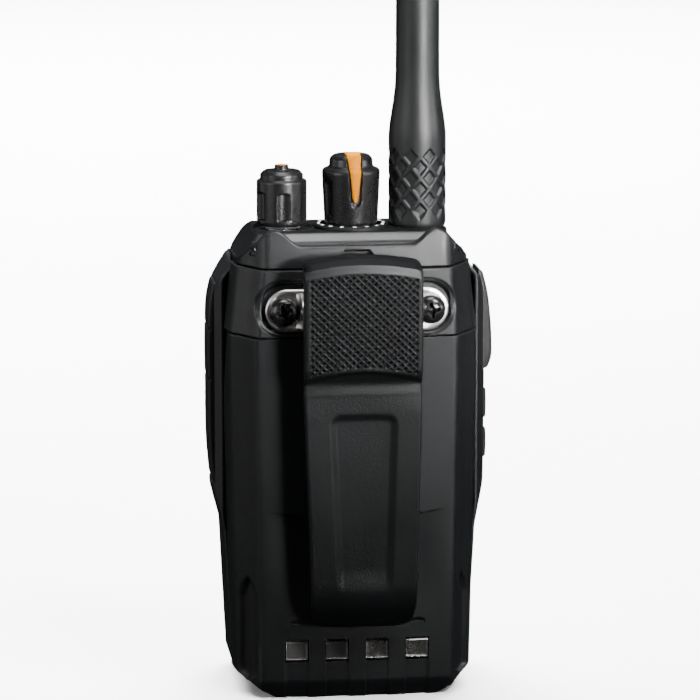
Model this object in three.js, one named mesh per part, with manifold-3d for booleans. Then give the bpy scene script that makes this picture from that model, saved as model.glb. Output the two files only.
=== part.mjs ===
// Portable two-way radio. Millimetres, +Z up. The back, with the battery pack and
// the belt clip, faces -Y, the loudspeaker faces +Y, and the origin is the centre
// of the base that the radio stands on.
import * as THREE from 'three';
import { mergeVertices } from 'three/addons/utils/BufferGeometryUtils.js';
import Module from 'manifold-3d';

const wasm = await Module();
wasm.setup();

// ---------------------------------------------------------------- dimensions

const GAP = 0.3;            // clearance between neighbouring pieces
const WALL = 2;             // moulded wall

const BACK_Y = -18;         // rear face of the battery pack and the rear cover
const FRONT_Y = 18;         // front face of the housing
const PARTING_Y = -4;       // plane where the battery pack meets the housing
const BATTERY_TOP = 76.7;
const REAR_COVER_BASE = BATTERY_TOP + GAP;
const REAR_COVER_TOP = 91;
const TOP_COVER_BASE = REAR_COVER_TOP + GAP;
const DECK_Z = 97;          // flat deck that the knobs stand on
const HORN_Z = 99.3;        // peaks of the two horns behind the knobs

const SIDE_X = 29.6;        // widest half width, across the side bulge
const CAVITY_X = 24.4;      // half width of the space inside the housing
const CAVITY_FLOOR = 5;

const CONTROL_Y = 1;        // the knobs and the antenna stand in one row
const VOLUME_X = -13.8;
const CHANNEL_X = 0.8;
const ANTENNA_X = 14.8;
const KNOB_BASE = 98;
const VOLUME_KNOB_TOP = KNOB_BASE + 10.8;
const CHANNEL_KNOB_TOP = KNOB_BASE + 14.8;
const CHANNEL_RIM = KNOB_BASE + 11.6;  // edge where the channel knob steps in
const POINTER_LOW = KNOB_BASE + 3.4;
const SHAFT_RADIUS = 1.5;
const BUSH_RADIUS = 3;
const NUT_HEIGHT = 1.6;
const ANTENNA_BASE = 97.4;
const ANTENNA_TOP = 249;
const ANTENNA_RADIUS = 6.05;
const WHIP_RADIUS = 4.6;

const CLIP_PIVOT_Y = -22.5;
const CLIP_PIVOT_Z = 82.6;  // the clip screws sit at the same height
const CLIP_SCREW_X = 15.25;
const CLIP_HALF_WIDTH = 12.4;
const PIN_RADIUS = 1.2;
const PIN_HALF_LENGTH = 12.2;
const SCREW_HOLE_RADIUS = 1.7;

const CONTACT_PITCH = 8.43;
const CONTACT_SIZE = 4.5;
const CONTACT_Z = 10.4;
const BUTTON_POCKET_X = 26.6;  // floor of the push-to-talk pocket
const SIDE_KEY_HEIGHTS = [50.5, 59];
const SIDE_KEY_HALF_HEIGHT = 3.2;
const SPEAKER_HEIGHT = 40;
const LENS = { x: 12, z: 83, radius: 1.3 };
const MICROPHONE = { x: 13, z: 14, radius: 2 };
const HOOK_PLACES = [[-16, 24], [-16, 62], [16, 24], [16, 62]];
const BATTERY_TRAVEL = 8;   // slide that frees the pack's hooks
const LATCH_X = -11;

// ------------------------------------------------------------ solids helpers

// A closed three.js geometry as a manifold solid.
function solidOf(geometry) {
  const plain = geometry.clone();
  plain.deleteAttribute('normal');
  plain.deleteAttribute('uv');
  const merged = mergeVertices(plain, 1e-4);
  const index = merged.index.array;
  const triangles = [];
  for (let i = 0; i < index.length; i += 3) {
    const [a, b, c] = index.slice(i, i + 3);
    if (a !== b && b !== c && c !== a) triangles.push(a, b, c);
  }
  return new wasm.Manifold(new wasm.Mesh({
    numProp: 3,
    vertProperties: new Float32Array(merged.attributes.position.array),
    triVerts: new Uint32Array(triangles),
  }));
}

function geometryOf(solid) {
  const mesh = solid.getMesh();
  const geometry = new THREE.BufferGeometry();
  geometry.setAttribute('position', new THREE.BufferAttribute(mesh.vertProperties, 3));
  geometry.setIndex(new THREE.BufferAttribute(mesh.triVerts, 1));
  geometry.computeVertexNormals();
  return geometry;
}

const join = (...solids) => solids.reduce((a, b) => a.add(b));
const cut = (solid, ...tools) => tools.reduce((a, b) => a.subtract(b), solid);
const common = (...solids) => solids.reduce((a, b) => a.intersect(b));

// A closed outline through corners [x, y, radius]. The radius rounds the corner, and
// takes up less than half of the sides that meet there.
function outline(corners) {
  const shape = new THREE.Shape();
  corners.forEach(([x, y, radius = 0], i) => {
    const corner = new THREE.Vector2(x, y);
    const towards = (other) => {
      const side = new THREE.Vector2(other[0], other[1]).sub(corner);
      return side.setLength(Math.min(radius, side.length() * 0.48)).add(corner);
    };
    const start = towards(corners.at(i - 1));
    const end = towards(corners[(i + 1) % corners.length]);
    if (i === 0) shape.moveTo(start.x, start.y);
    else shape.lineTo(start.x, start.y);
    if (radius > 0) shape.quadraticCurveTo(x, y, end.x, end.y);
  });
  shape.closePath();
  return shape;
}

// The corners of a half outline and of its mirror image at -x, in one loop.
function mirrored(half) {
  const otherHalf = half.map(([x, y, radius]) => [-x, y, radius]).reverse();
  return [...half, ...otherHalf];
}

// The same loop of corners with every side moved inwards by a distance.
function inset(corners, distance) {
  const point = (i) => corners.at(i % corners.length);
  const sides = corners.map((_, i) => {
    const [ax, ay] = point(i);
    const [bx, by] = point(i + 1);
    const along = new THREE.Vector2(bx - ax, by - ay).normalize();
    return { x: ax - along.y * distance, y: ay + along.x * distance, along };
  });
  return corners.map(([, , radius = 0], i) => {
    const a = sides.at(i - 1);
    const b = sides[i];
    const turn = a.along.x * b.along.y - a.along.y * b.along.x;
    const reach = ((b.x - a.x) * b.along.y - (b.y - a.y) * b.along.x) / turn;
    return [a.x + a.along.x * reach, a.y + a.along.y * reach, Math.max(0, radius - distance)];
  });
}

// A straight prism. Axis z takes corners in x and y, axis y in x and z, and axis x
// in y and z.
function prism(axis, corners, from, to, curveSegments = 3) {
  const geometry = new THREE.ExtrudeGeometry(outline(corners), {
    depth: to - from, bevelEnabled: false, curveSegments,
  });
  if (axis === 'y') {
    geometry.translate(0, 0, -to);
    geometry.rotateX(Math.PI / 2);
  } else {
    geometry.translate(0, 0, from);
  }
  if (axis === 'x') {
    const turn = new THREE.Matrix4();
    turn.makeBasis(
      new THREE.Vector3(0, 1, 0), new THREE.Vector3(0, 0, 1), new THREE.Vector3(1, 0, 0),
    );
    geometry.applyMatrix4(turn);
  }
  return solidOf(geometry);
}

function block([x0, x1], [y0, y1], [z0, z1]) {
  const geometry = new THREE.BoxGeometry(x1 - x0, y1 - y0, z1 - z0);
  geometry.translate((x0 + x1) / 2, (y0 + y1) / 2, (z0 + z1) / 2);
  return solidOf(geometry);
}

// A solid of revolution about +Z. The profile is a list of [radius, z].
function turned(profile, sides = 24) {
  const points = profile.map(([radius, z]) => new THREE.Vector2(radius, z));
  const geometry = new THREE.LatheGeometry(points, sides);
  geometry.rotateX(Math.PI / 2);
  return solidOf(geometry);
}

// A round bar. Its centre line runs along the axis and passes through the point.
function bar(axis, radius, from, to, [x, y, z] = [0, 0, 0], sides = 16) {
  const geometry = new THREE.CylinderGeometry(radius, radius, to - from, sides);
  const middle = (from + to) / 2;
  if (axis === 'x') geometry.rotateZ(-Math.PI / 2).translate(middle, y, z);
  if (axis === 'y') geometry.translate(x, middle, z);
  if (axis === 'z') geometry.rotateX(Math.PI / 2).translate(x, y, middle);
  return solidOf(geometry);
}

// A rounded slot outline, wider than tall, centred on x = 0 at height z.
function obround(halfLength, radius, z) {
  const bow = radius * 0.95;
  return mirrored([
    [halfLength, z - radius, bow],
    [halfLength, z + radius, bow],
  ]);
}

// -------------------------------------------------------------- scene helpers

const FINISHES = {
  moulded: { color: 0x17181a, roughness: 0.55, metalness: 0 },
  rubber: { color: 0x121314, roughness: 0.75, metalness: 0 },
  accent: { color: 0xf09a2a, roughness: 0.5, metalness: 0 },
  nickel: { color: 0xc9c9c6, roughness: 0.25, metalness: 1 },
  darkSteel: { color: 0x1b1b1d, roughness: 0.4, metalness: 1 },
  brass: { color: 0xb8964a, roughness: 0.35, metalness: 1 },
  castMetal: { color: 0x9a9c9e, roughness: 0.5, metalness: 1 },
  board: { color: 0x1d4a2c, roughness: 0.6, metalness: 0 },
  cell: { color: 0x3b6ea5, roughness: 0.5, metalness: 0 },
  magnet: { color: 0x2c2d30, roughness: 0.45, metalness: 1 },
  paper: { color: 0x26241f, roughness: 0.9, metalness: 0 },
  lens: { color: 0xc8e6d0, roughness: 0.15, metalness: 0 },
};

const radio = new THREE.Group();

function assembly(x = 0, y = 0, z = 0) {
  const group = new THREE.Group();
  group.position.set(x, y, z);
  radio.add(group);
  return group;
}

function addPiece(parent, name, finish, solid) {
  const mesh = new THREE.Mesh(geometryOf(solid), new THREE.MeshStandardMaterial(FINISHES[finish]));
  mesh.name = name;
  parent.add(mesh);
  return mesh;
}

// ------------------------------------------------------------ shared outlines

const HOUSING_FRONT = mirrored([
  [17.5, 0, 1], [25.1, 4.8, 2], [26.7, 34, 4], [29.2, 43, 3], [SIDE_X, 62, 0],
  [SIDE_X, 80, 3], [28.2, 86.5, 2], [24.6, REAR_COVER_TOP, 0],
]);
const HOUSING_PLAN = mirrored([
  [12, FRONT_Y, 5], [22.5, 16.8, 4], [28.2, 11, 4], [SIDE_X, 4, 2], [29.3, 0, 2], [27, PARTING_Y, 0],
].reverse());
const HOUSING_SIDE = [
  [PARTING_Y, 0, 0], [15.5, 0, 2], [FRONT_Y + 0.1, 6, 2], [FRONT_Y + 0.1, 78, 4],
  [14.8, REAR_COVER_TOP, 0], [PARTING_Y, REAR_COVER_TOP, 0],
];
const CAVITY_FRONT = mirrored([[15.5, CAVITY_FLOOR, 1], [CAVITY_X - 1.6, 10, 2], [CAVITY_X, 34, 0],
  [CAVITY_X, 84, 2], [22.4, REAR_COVER_TOP, 0]]);
const CHASSIS_FRONT = [...CAVITY_FRONT.slice(0, 3), [CAVITY_X, 83.8, 2],
  [-CAVITY_X, 83.8, 2], ...CAVITY_FRONT.slice(-3)];
const PACK_FRONT = mirrored([
  [16.8, 0, 1.5], [25.4, 4.8, 1.5], [26.9, 36, 4], [26.9, 60, 4], [25.8, BATTERY_TOP, 0.5],
]);
const PACK_PLAN = mirrored([[20.4, BACK_Y, 1], [26.2, -9.5, 2], [27, PARTING_Y - GAP, 0]]);
const TOP_PLAN = mirrored([
  [19.5, -17.2, 1], [24.2, -8.5, 2], [24.6, 2, 3], [24, 10, 3], [19, 14.8, 4],
]);
const OPEN = 40; // reach of a cutting tool past the outside of the radio

// ------------------------------------------------------------------- housing

function chassisScrewPlaces() {
  return [[-19.5, 13], [19.5, 13], [-19.5, 70], [19.5, 70]];
}

function frontHousing() {
  const outside = common(
    prism('z', HOUSING_PLAN, 0, REAR_COVER_TOP),
    prism('y', HOUSING_FRONT, PARTING_Y, OPEN),
    prism('x', HOUSING_SIDE, -OPEN, OPEN),
  );
  const cavityPlan = mirrored([
    [22.8, 13.6, 0], [CAVITY_X, 11, 0], [CAVITY_X, -OPEN, 0],
  ].reverse().concat([[12, FRONT_Y - WALL, 3]]));
  const cavity = common(
    prism('z', cavityPlan, 0, OPEN * 3),
    prism('y', CAVITY_FRONT, -OPEN, OPEN),
    prism('x', [[-OPEN, 0, 0], [13.6, 0, 0], [FRONT_Y - WALL, 8, 0], [FRONT_Y - WALL, 77, 0],
      [12.6, REAR_COVER_TOP + 1, 0], [-OPEN, REAR_COVER_TOP + 1, 0]], -OPEN, OPEN),
  );
  let housing = cut(outside, cavity);
  for (const [x, z] of chassisScrewPlaces()) {
    housing = join(housing, bar('y', 2.6, -1.2, 15, [x, 0, z], 12));
    housing = cut(housing, bar('y', 1.2, -3, 10, [x, 0, z], 10));
  }
  for (let row = -3; row <= 3; row += 1) {
    const z = SPEAKER_HEIGHT + row * 4;
    const half = 11 - Math.abs(row) * 1.6;
    housing = cut(housing, block([-half, half], [15, OPEN], [z - 0.8, z + 0.8]));
  }
  const labelRecess = prism('y', mirrored([[15, 58, 2], [15, 74, 2]]), FRONT_Y - 0.6, OPEN);
  const microphoneHole = bar('y', 0.7, 14, OPEN, [MICROPHONE.x, 0, MICROPHONE.z], 8);
  const lensHole = bar('y', LENS.radius + GAP, 11, OPEN, [LENS.x, 0, LENS.z], 12);
  const latchPocket = block([LATCH_X - 4.5, LATCH_X + 4.5], [-OPEN, 3], [-1, 3.6]);
  housing = cut(housing, labelRecess, microphoneHole, lensHole, latchPocket);
  return cut(housing, ...sideOpenings());
}

// Pockets in the sides for the push-to-talk button, the side keys and the jack cover.
function sideOpenings() {
  const switchPocket = block([24.9, OPEN], [1.7, 6.3], [74.7, 79.3]);
  const buttonPocket = block([BUTTON_POCKET_X, OPEN], [-1, 9], [66.2, 88.2]);
  const pocketHalf = SIDE_KEY_HALF_HEIGHT + 0.4;
  const keyPockets = SIDE_KEY_HEIGHTS.map((z) => (
    block([27.1, OPEN], [0, 8], [z - pocketHalf, z + pocketHalf])));
  const coverPocket = block([-OPEN, -27.8], [-1.6, 9.2], [43.4, 86.4]);
  const jackOpening = block([-28.5, -22.3], [0.4, 7.6], [52, 78]);
  return [switchPocket, buttonPocket, ...keyPockets, coverPocket, jackOpening];
}

function chassis() {
  let solid = prism('y', inset(CHASSIS_FRONT, GAP), PARTING_Y + GAP, -1.7);
  for (const [x, z] of HOOK_PLACES) {
    solid = join(solid, block([x - 2, x + 2], [-5.2, -3], [z, z + 3]));
  }
  for (const [x, z] of chassisScrewPlaces()) {
    solid = cut(solid, bar('y', 1.2, -9, 0, [x, 0, z], 10), bar('y', 2.3, -9, -2.5, [x, 0, z], 12));
  }
  const terminalWindow = block([-6.3, 6.3], [-9, 0], [67.4, 73.6]);
  return cut(solid, terminalWindow);
}

function gasket() {
  const outer = prism('y', inset(CHASSIS_FRONT, GAP), -1.4, -0.7);
  const inner = prism('y', inset(CHASSIS_FRONT, 1.6), -2, 0);
  const bosses = chassisScrewPlaces().map(([x, z]) => bar('y', 2.9, -2, 0, [x, 0, z], 12));
  return cut(outer, inner, ...bosses);
}

function chassisScrew() {
  return turned([[0, -6], [0.9, -6], [0.9, 0.3], [2, 0.3], [2, 1], [1.6, 1.2], [0, 1.2]], 12);
}

function topCover() {
  const rearWall = prism('y', mirrored([
    [24.6, TOP_COVER_BASE, 0], [24.6, 94, 1], [16.4, HORN_Z, 1.2], [11.2, 96.2, 1],
  ]), -17.2, -12.6);
  const deck = prism('y', mirrored([
    [24.6, TOP_COVER_BASE, 0], [24.6, 94, 1], [20.5, DECK_Z, 1],
  ]), -11.8, 15);
  const base = block([-25, 25], [-18, 15], [TOP_COVER_BASE, 95.2]);
  const shoulders = prism('y', mirrored([
    [24.6, TOP_COVER_BASE, 0], [24.6, 94, 1], [19, 97.6, 0],
  ]), -18, 15);
  const shell = common(
    join(rearWall, deck, common(base, shoulders)),
    prism('z', TOP_PLAN, TOP_COVER_BASE, OPEN * 3),
    prism('x', [[-18, 90, 0], [14.8, 90, 0], [14, 95, 1], [11.5, DECK_Z, 1], [-12, DECK_Z, 0],
      [-12, HORN_Z + 1, 0], [-16.4, HORN_Z + 1, 0], [-17.2, 91, 0]], -OPEN, OPEN),
  );
  const cavity = common(
    prism('z', inset(TOP_PLAN, WALL), 90, 94.4),
    prism('y', mirrored([[22.4, 90, 0], [22.4, 93, 0], [20, 94.4, 0]]), -OPEN, OPEN),
  );
  const holes = [
    bar('z', BUSH_RADIUS + GAP, 90, OPEN * 3, [VOLUME_X, CONTROL_Y, 0]),
    bar('z', BUSH_RADIUS + GAP, 90, OPEN * 3, [CHANNEL_X, CONTROL_Y, 0]),
    bar('z', 4 + GAP, 90, OPEN * 3, [ANTENNA_X, CONTROL_Y, 0]),
  ];
  const strapSlot = prism('y', mirrored([[3.4, 92.4, 0], [2.5, 95.2, 0.3]]), -OPEN, -15);
  const dialSeat = cut(
    bar('z', 8.2, DECK_Z - 0.7, OPEN * 3, [CHANNEL_X, CONTROL_Y, 0], 32),
    bar('z', 6.1, 0, OPEN * 3, [CHANNEL_X, CONTROL_Y, 0], 32),
  );
  return cut(shell, cavity, ...holes, strapSlot, dialSeat);
}

function dialRing() {
  const low = DECK_Z - 0.4;
  const high = DECK_Z + 0.5;
  return turned([[6.5, low], [7.9, low], [7.9, high - 0.3], [7.4, high], [6.5, high], [6.5, low]], 32);
}

function rearCover() {
  const taper = (z) => 1 - 0.004 * (z - REAR_COVER_BASE);
  const outside = tapered(
    prism('z', PACK_PLAN.map(([x, y, r]) => [x * 0.985, y, r]), REAR_COVER_BASE, REAR_COVER_TOP),
    taper,
  );
  const pocket = prism('y', obround(20.1, 5.6, CLIP_PIVOT_Z + 0.6), -OPEN, BACK_Y + 1.6);
  const inside = block([-11, 11], [-14.4, OPEN], [79, 88.8]);
  const screwHoles = [-1, 1].map((side) => (
    bar('y', SCREW_HOLE_RADIUS, -OPEN, -7, [side * CLIP_SCREW_X, 0, CLIP_PIVOT_Z], 12)));
  return cut(outside, pocket, inside, ...screwHoles);
}

// The solid with each point's x scaled by a factor that depends on its height.
function tapered(solid, factorAt) {
  const geometry = geometryOf(solid);
  const position = geometry.attributes.position;
  for (let i = 0; i < position.count; i += 1) {
    position.setX(i, position.getX(i) * factorAt(position.getZ(i)));
  }
  return solidOf(geometry);
}

// --------------------------------------------------------- electronics inside

function mainBoard() {
  const board = block([-21.5, 21.5], [2.2, 3.8], [17, 83]);
  const bossHoles = chassisScrewPlaces().map(([x, z]) => bar('y', 3, 0, 6, [x, 0, z], 12));
  return cut(board, ...bossHoles);
}

function rfShield() {
  const can = block([-15, 15], [-1.3, 1.9], [26, 62]);
  return cut(can, block([-14.5, 14.5], [-0.8, 5], [26.5, 61.5]));
}

function speakerFrame() {
  return turned([
    [6, 0], [9, 0], [16, 4.6], [18, 4.6], [18, 6], [16.6, 6], [16.6, 5.4], [15.4, 5.4],
    [8.6, 1], [6, 1], [6, 0],
  ]);
}

function speakerCone() {
  return turned([
    [0, 1.6], [5, 1.6], [14.9, 5.8], [16.2, 5.8], [16.2, 6.2], [14.7, 6.2], [5, 2.2], [0, 2.8],
  ]);
}

function shaft(length) {
  return bar('z', SHAFT_RADIUS, KNOB_BASE - 9, KNOB_BASE + length, [0, 0, 0], 14);
}

// A square control body with a threaded bush; the shaft turns in its bore.
function controlBody(halfSide, depth) {
  const shoulder = 93.4;
  const body = block([-halfSide, halfSide], [-halfSide, halfSide], [shoulder - depth, shoulder]);
  const bush = bar('z', BUSH_RADIUS, shoulder - 1, 100.4);
  return cut(join(body, bush), bar('z', SHAFT_RADIUS + GAP, KNOB_BASE - 9 - GAP, OPEN * 3));
}

function bushNut() {
  const low = DECK_Z + GAP;
  const hexagon = bar('z', 4.2, low, low + NUT_HEIGHT, [0, 0, 0], 6);
  return cut(hexagon, bar('z', BUSH_RADIUS + GAP, low - 1, low + 3));
}

function antennaSocket() {
  const barrel = turned([[0, 84.4], [5, 84.4], [5, 86], [3.95, 86], [3.95, 98.6], [0, 98.6]], 20);
  return cut(barrel, bar('z', 2.7, 88, OPEN * 3));
}

function jackBlock() {
  const body = block([-27.4, -22.6], [0.7, 7.3], [52.3, 77.7]);
  const sockets = [[1.8, 59], [1.3, 70]].map(([radius, z]) => (
    bar('x', radius, -OPEN, -24, [0, 4, z], 12)));
  return cut(body, ...sockets);
}

function terminalBlock() {
  const body = block([-6, 6], [-3.4, 1.6], [67.7, 73.3]);
  const pins = [-4, 0, 4].map((x) => bar('y', 0.8, -4.1, -3, [x, 0, 70.5], 10));
  return join(body, ...pins);
}

// ----------------------------------------------------------- knobs and antenna

function knobBore(top) {
  return join(
    bar('z', SHAFT_RADIUS + GAP, KNOB_BASE - 1, top),
    bar('z', 4.5, KNOB_BASE - 1, KNOB_BASE + 2.8, [0, 0, 0], 20),
  );
}

// Upright finger scoops, round bars cut from a knob's side at the given angles.
function scoops(angles, radius, distance, low, high) {
  return angles.map((degrees) => {
    const angle = THREE.MathUtils.degToRad(degrees);
    const place = [distance * Math.cos(angle), distance * Math.sin(angle), 0];
    return bar('z', radius, low, high, place, 12);
  });
}

function volumeKnob() {
  const top = VOLUME_KNOB_TOP;
  const knob = turned([
    [0, KNOB_BASE], [5, KNOB_BASE], [5.3, KNOB_BASE + 0.6], [5.3, top - 2.2], [4.1, top], [0, top],
  ], 30);
  const grips = scoops([-90, -30, 30, 90, 150, 210], 1.9, 6.7, KNOB_BASE + 1, top - 3);
  return cut(knob, ...grips, knobBore(top - 2.6), bar('z', 1.6, top - 2, OPEN * 3));
}

function volumePin() {
  const seat = VOLUME_KNOB_TOP - 1.7;
  return turned([[0, seat], [1.3, seat], [1.3, seat + 2.9], [0.9, seat + 3.3], [0, seat + 3.3]], 14);
}

function channelKnob() {
  const rim = CHANNEL_RIM;
  const top = CHANNEL_KNOB_TOP;
  const body = turned([
    [0, KNOB_BASE], [5.6, KNOB_BASE], [6.15, rim - 0.6], [5.7, rim], [4.7, rim + 0.3],
    [4.5, top - 0.9], [3.4, top - 0.2], [0, top],
  ], 32);
  const grips = scoops([-30, 30, 90, 150, 210], 2.2, 7.6, KNOB_BASE + 2, rim - 2.4);
  return cut(body, ...grips, knobBore(KNOB_BASE + 8.3), pointerGroove());
}

// The groove for the pointer runs down the side of the channel knob and over its top.
// It narrows downwards and clears the pointer all round.
function pointerGroove() {
  const top = CHANNEL_KNOB_TOP;
  const low = POINTER_LOW - GAP;
  const face = prism('y', mirrored([
    [0.55 + GAP, low, 0], [1.7 + GAP, top + 1, 0],
  ]), -8, 0.6 + GAP);
  const depth = prism('x', [
    [-8, low], [-4.5, low], [-4.2, top - 3.6], [-2.4, top - 1.4 - GAP],
    [0.6 + GAP, top - 1.4 - GAP], [0.6 + GAP, top + 1], [-8, top + 1],
  ], -4, 4);
  return common(face, depth);
}

function channelPointer() {
  const rim = CHANNEL_RIM;
  const top = CHANNEL_KNOB_TOP;
  const skin = turned([
    [0, KNOB_BASE], [5.3, KNOB_BASE], [5.75, rim - 0.6], [5.3, rim], [4.45, rim + 0.5],
    [4.3, top - 1], [3.2, top - 0.3], [0, top - 0.1],
  ], 32);
  const depth = prism('x', [
    [-8, KNOB_BASE], [-4.5 - GAP, KNOB_BASE], [-4.2 - GAP, top - 3.6], [-2.4 - GAP, top - 1.4],
    [0.6, top - 1.4], [0.6, top + 1], [-8, top + 1],
  ], -4, 4);
  const face = prism('y', mirrored([[0.55, POINTER_LOW, 0], [1.7, top + 1, 0]]), -8, 0.6);
  return common(skin, depth, face);
}

function antennaSheath() {
  const outside = turned([
    [0, ANTENNA_BASE], [5.8, ANTENNA_BASE], [ANTENNA_RADIUS, ANTENNA_BASE + 0.6],
    [ANTENNA_RADIUS, 117.5], [5.6, 120.6], [5, 124], [WHIP_RADIUS, 128.5],
    [4.2, ANTENNA_TOP - 3], [3.4, ANTENNA_TOP - 0.9], [0, ANTENNA_TOP],
  ], 24);
  return cut(outside,
    bar('z', 5.1, ANTENNA_BASE - 1, 101.6, [0, 0, 0], 20),
    bar('z', 1.5, 101, ANTENNA_TOP - 6, [0, 0, 0], 12));
}

// ------------------------------------------------------------------ belt clip

function clipBracket() {
  const face = BACK_Y + GAP;
  const plate = prism('y', obround(19, 4.5, CLIP_PIVOT_Z), face, face + 1, 6);
  const ear = prism('x', [
    [face + 0.5, 79], [-21, 79.2], [-24.9, 79.9, 2.4], [-24.9, 85.3, 2.4], [-21, 86],
    [face + 0.5, 86.2],
  ], 10.9, 11.9);
  const holes = [-1, 1].map((side) => (
    bar('y', SCREW_HOLE_RADIUS, -OPEN, 0, [side * CLIP_SCREW_X, 0, CLIP_PIVOT_Z], 12)));
  return cut(join(plate, ear, ear.mirror([1, 0, 0])), ...holes, hingePin(PIN_RADIUS + GAP, OPEN));
}

// A bar along the clip's hinge axis: the pin, or the hole that it turns in.
function hingePin(radius, halfLength) {
  return bar('x', radius, -halfLength, halfLength, [0, CLIP_PIVOT_Y, CLIP_PIVOT_Z], 12);
}

// A pan-head screw that points its head along +Z.
function panScrew() {
  const screw = turned([
    [0, -8.6], [1, -8.6], [1.4, -7.6], [1.4, 0], [3, 0], [3, 1], [2.4, 2], [1.2, 2.4], [0, 2.4],
  ], 20);
  const recess = join(
    block([-1.7, 1.7], [-0.35, 0.35], [1, 3]),
    block([-0.35, 0.35], [-1.7, 1.7], [1, 3]),
  );
  return cut(screw, recess);
}

function beltClip() {
  const section = prism('x', [
    [-24.4, 94.6, 0.6], [-28, 93.9, 1.6], [-29.1, 91.4, 2], [-29.3, 82, 0], [-29, 70.6, 0.6],
    [-27.2, 66.6, 1], [-27.6, 45, 0], [-26.8, 23, 3], [-22, 16.2, 1], [-20.6, 17.4, 0.6],
    [-24.2, 24.2, 3], [-25, 45, 0], [-24.6, 66.4, 1], [-26.4, 71, 1], [-26.6, 90.4, 1],
    [-24.4, 92.8, 0.4],
  ], -20, 20, 4);
  const face = prism('y', mirrored([
    [9.8, 16, 2.4], [10.6, 24, 2], [CLIP_HALF_WIDTH, 66, 0], [CLIP_HALF_WIDTH, 92.6, 2.4],
    [5, 94.5, 4],
  ]), -OPEN, 0);
  const rims = onBothSides(prism('x', [
    [-28, 69], [-25.3, 67.4], [-25.3, 90.6, 1.4], [-26.4, 92.4], [-28, 92.4],
  ], CLIP_HALF_WIDTH - 1.05, CLIP_HALF_WIDTH - 0.05));
  const cheeks = onBothSides(prism('x', [
    [-28, 77.6], [-24, 77.6, 0], [-20.4, 80.4, 2], [-20.4, 84.8, 2], [-24, 87.6, 0], [-28, 87.6],
  ], 9.3, 10.5));
  const panel = prism('y', mirrored([[5.9, 24.6, 1.5], [7.3, 62.8, 2.5]]), -OPEN, -27);
  return cut(join(common(section, face), rims, cheeks), hingePin(PIN_RADIUS + GAP, 11), panel);
}

function onBothSides(solid) {
  return join(solid, solid.mirror([1, 0, 0]));
}

// A torsion spring about X: a coil on the hinge pin and a straight leg at each end.
class TorsionSpring extends THREE.Curve {
  getPoint(t) {
    const radius = 2.1;
    const halfSpan = 5;
    const legShare = 0.06;
    const turns = 5;
    if (t < legShare) return this.leg(-halfSpan, radius, (1 - t / legShare) * 4, 0);
    if (t > 1 - legShare) return this.leg(halfSpan, radius, ((t - 1) / legShare + 1) * 4, turns);
    const share = (t - legShare) / (1 - 2 * legShare);
    const angle = share * turns * 2 * Math.PI;
    return new THREE.Vector3(
      (2 * share - 1) * halfSpan, radius * Math.cos(angle), radius * Math.sin(angle),
    );
  }

  leg(x, radius, reach, end) {
    return new THREE.Vector3(x, radius, end ? reach : -reach);
  }
}

function clipSpring() {
  const wire = new THREE.Shape();
  wire.absarc(0, 0, 0.4, 0, 2 * Math.PI, false);
  return solidOf(new THREE.ExtrudeGeometry(wire, {
    steps: 66, curveSegments: 3, extrudePath: new TorsionSpring(),
  }));
}

// --------------------------------------------------------------- battery pack

const packTaper = (z) => 1 - 0.0007 * (BATTERY_TOP - z);

function contactPlaces() {
  return [-1.5, -0.5, 0.5, 1.5].map((step) => step * CONTACT_PITCH);
}

function batteryCase() {
  const outside = common(
    tapered(prism('z', PACK_PLAN, 0, BATTERY_TOP), packTaper),
    prism('y', PACK_FRONT, -OPEN, OPEN),
    prism('x', [
      [-16.2, 0, 1.5], [BACK_Y, 4, 1], [BACK_Y, BATTERY_TOP], [0, BATTERY_TOP], [0, 0],
    ], -OPEN, OPEN),
  );
  const openFronted = mirrored([[19.4, BACK_Y + WALL, 1], [24.3, -8.9, 1], [25.1, -4.2], [25.1, 0]]);
  const inside = common(
    prism('y', inset(PACK_FRONT, WALL), -OPEN, OPEN),
    prism('z', openFronted, 0, OPEN * 3),
  );
  const stepMiddle = 38.7; // the step across the back curves up towards its ends
  const stepEnd = 40.4;
  const stepBand = prism('y', [
    [-18.6, 1.5, 0], [18.6, 1.5, 0], [18.6, stepEnd, 0], [9, stepMiddle + 0.4, 0],
    [0, stepMiddle, 0], [-9, stepMiddle + 0.4, 0], [-18.6, stepEnd, 0],
  ], -OPEN, BACK_Y + 0.5);
  const half = CONTACT_SIZE / 2 + GAP;
  const windows = contactPlaces().map((x) => (
    block([x - half, x + half], [-OPEN, -14], [CONTACT_Z - half, CONTACT_Z + half])));
  return cut(outside, inside, stepBand, ...windows);
}

function batteryInnerCover() {
  const plate = prism('y', inset(PACK_FRONT, WALL + GAP), -6.1, PARTING_Y - GAP);
  const hookSlots = HOOK_PLACES.map(([x, z]) => (
    block([x - 2.4, x + 2.4], [-5.6, 0], [z - 0.4, z + 3.4 + BATTERY_TRAVEL])));
  const terminalSeats = [-4, 4].map((x) => block([x - 1.9, x + 1.9], [-5.4, 0], [66, 72.6]));
  return cut(plate, ...hookSlots, ...terminalSeats);
}

// ------------------------------------------------------------------ assembling

function addHousing() {
  const body = assembly();
  addPiece(body, 'front_housing', 'moulded', frontHousing());
  addPiece(body, 'chassis', 'castMetal', chassis());
  addPiece(body, 'housing_gasket', 'rubber', gasket());
  addPiece(body, 'rear_cover', 'moulded', rearCover());
  addPiece(body, 'top_cover', 'moulded', topCover());
  addPiece(body, 'dial_ring', 'moulded', dialRing()).position.set(CHANNEL_X, CONTROL_Y, 0);
  chassisScrewPlaces().forEach(([x, z], i) => {
    const screw = addPiece(body, `chassis_screw_${i + 1}`, 'nickel', chassisScrew());
    screw.rotation.x = Math.PI / 2;
    screw.position.set(x, -2.5, z);
  });
}

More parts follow.
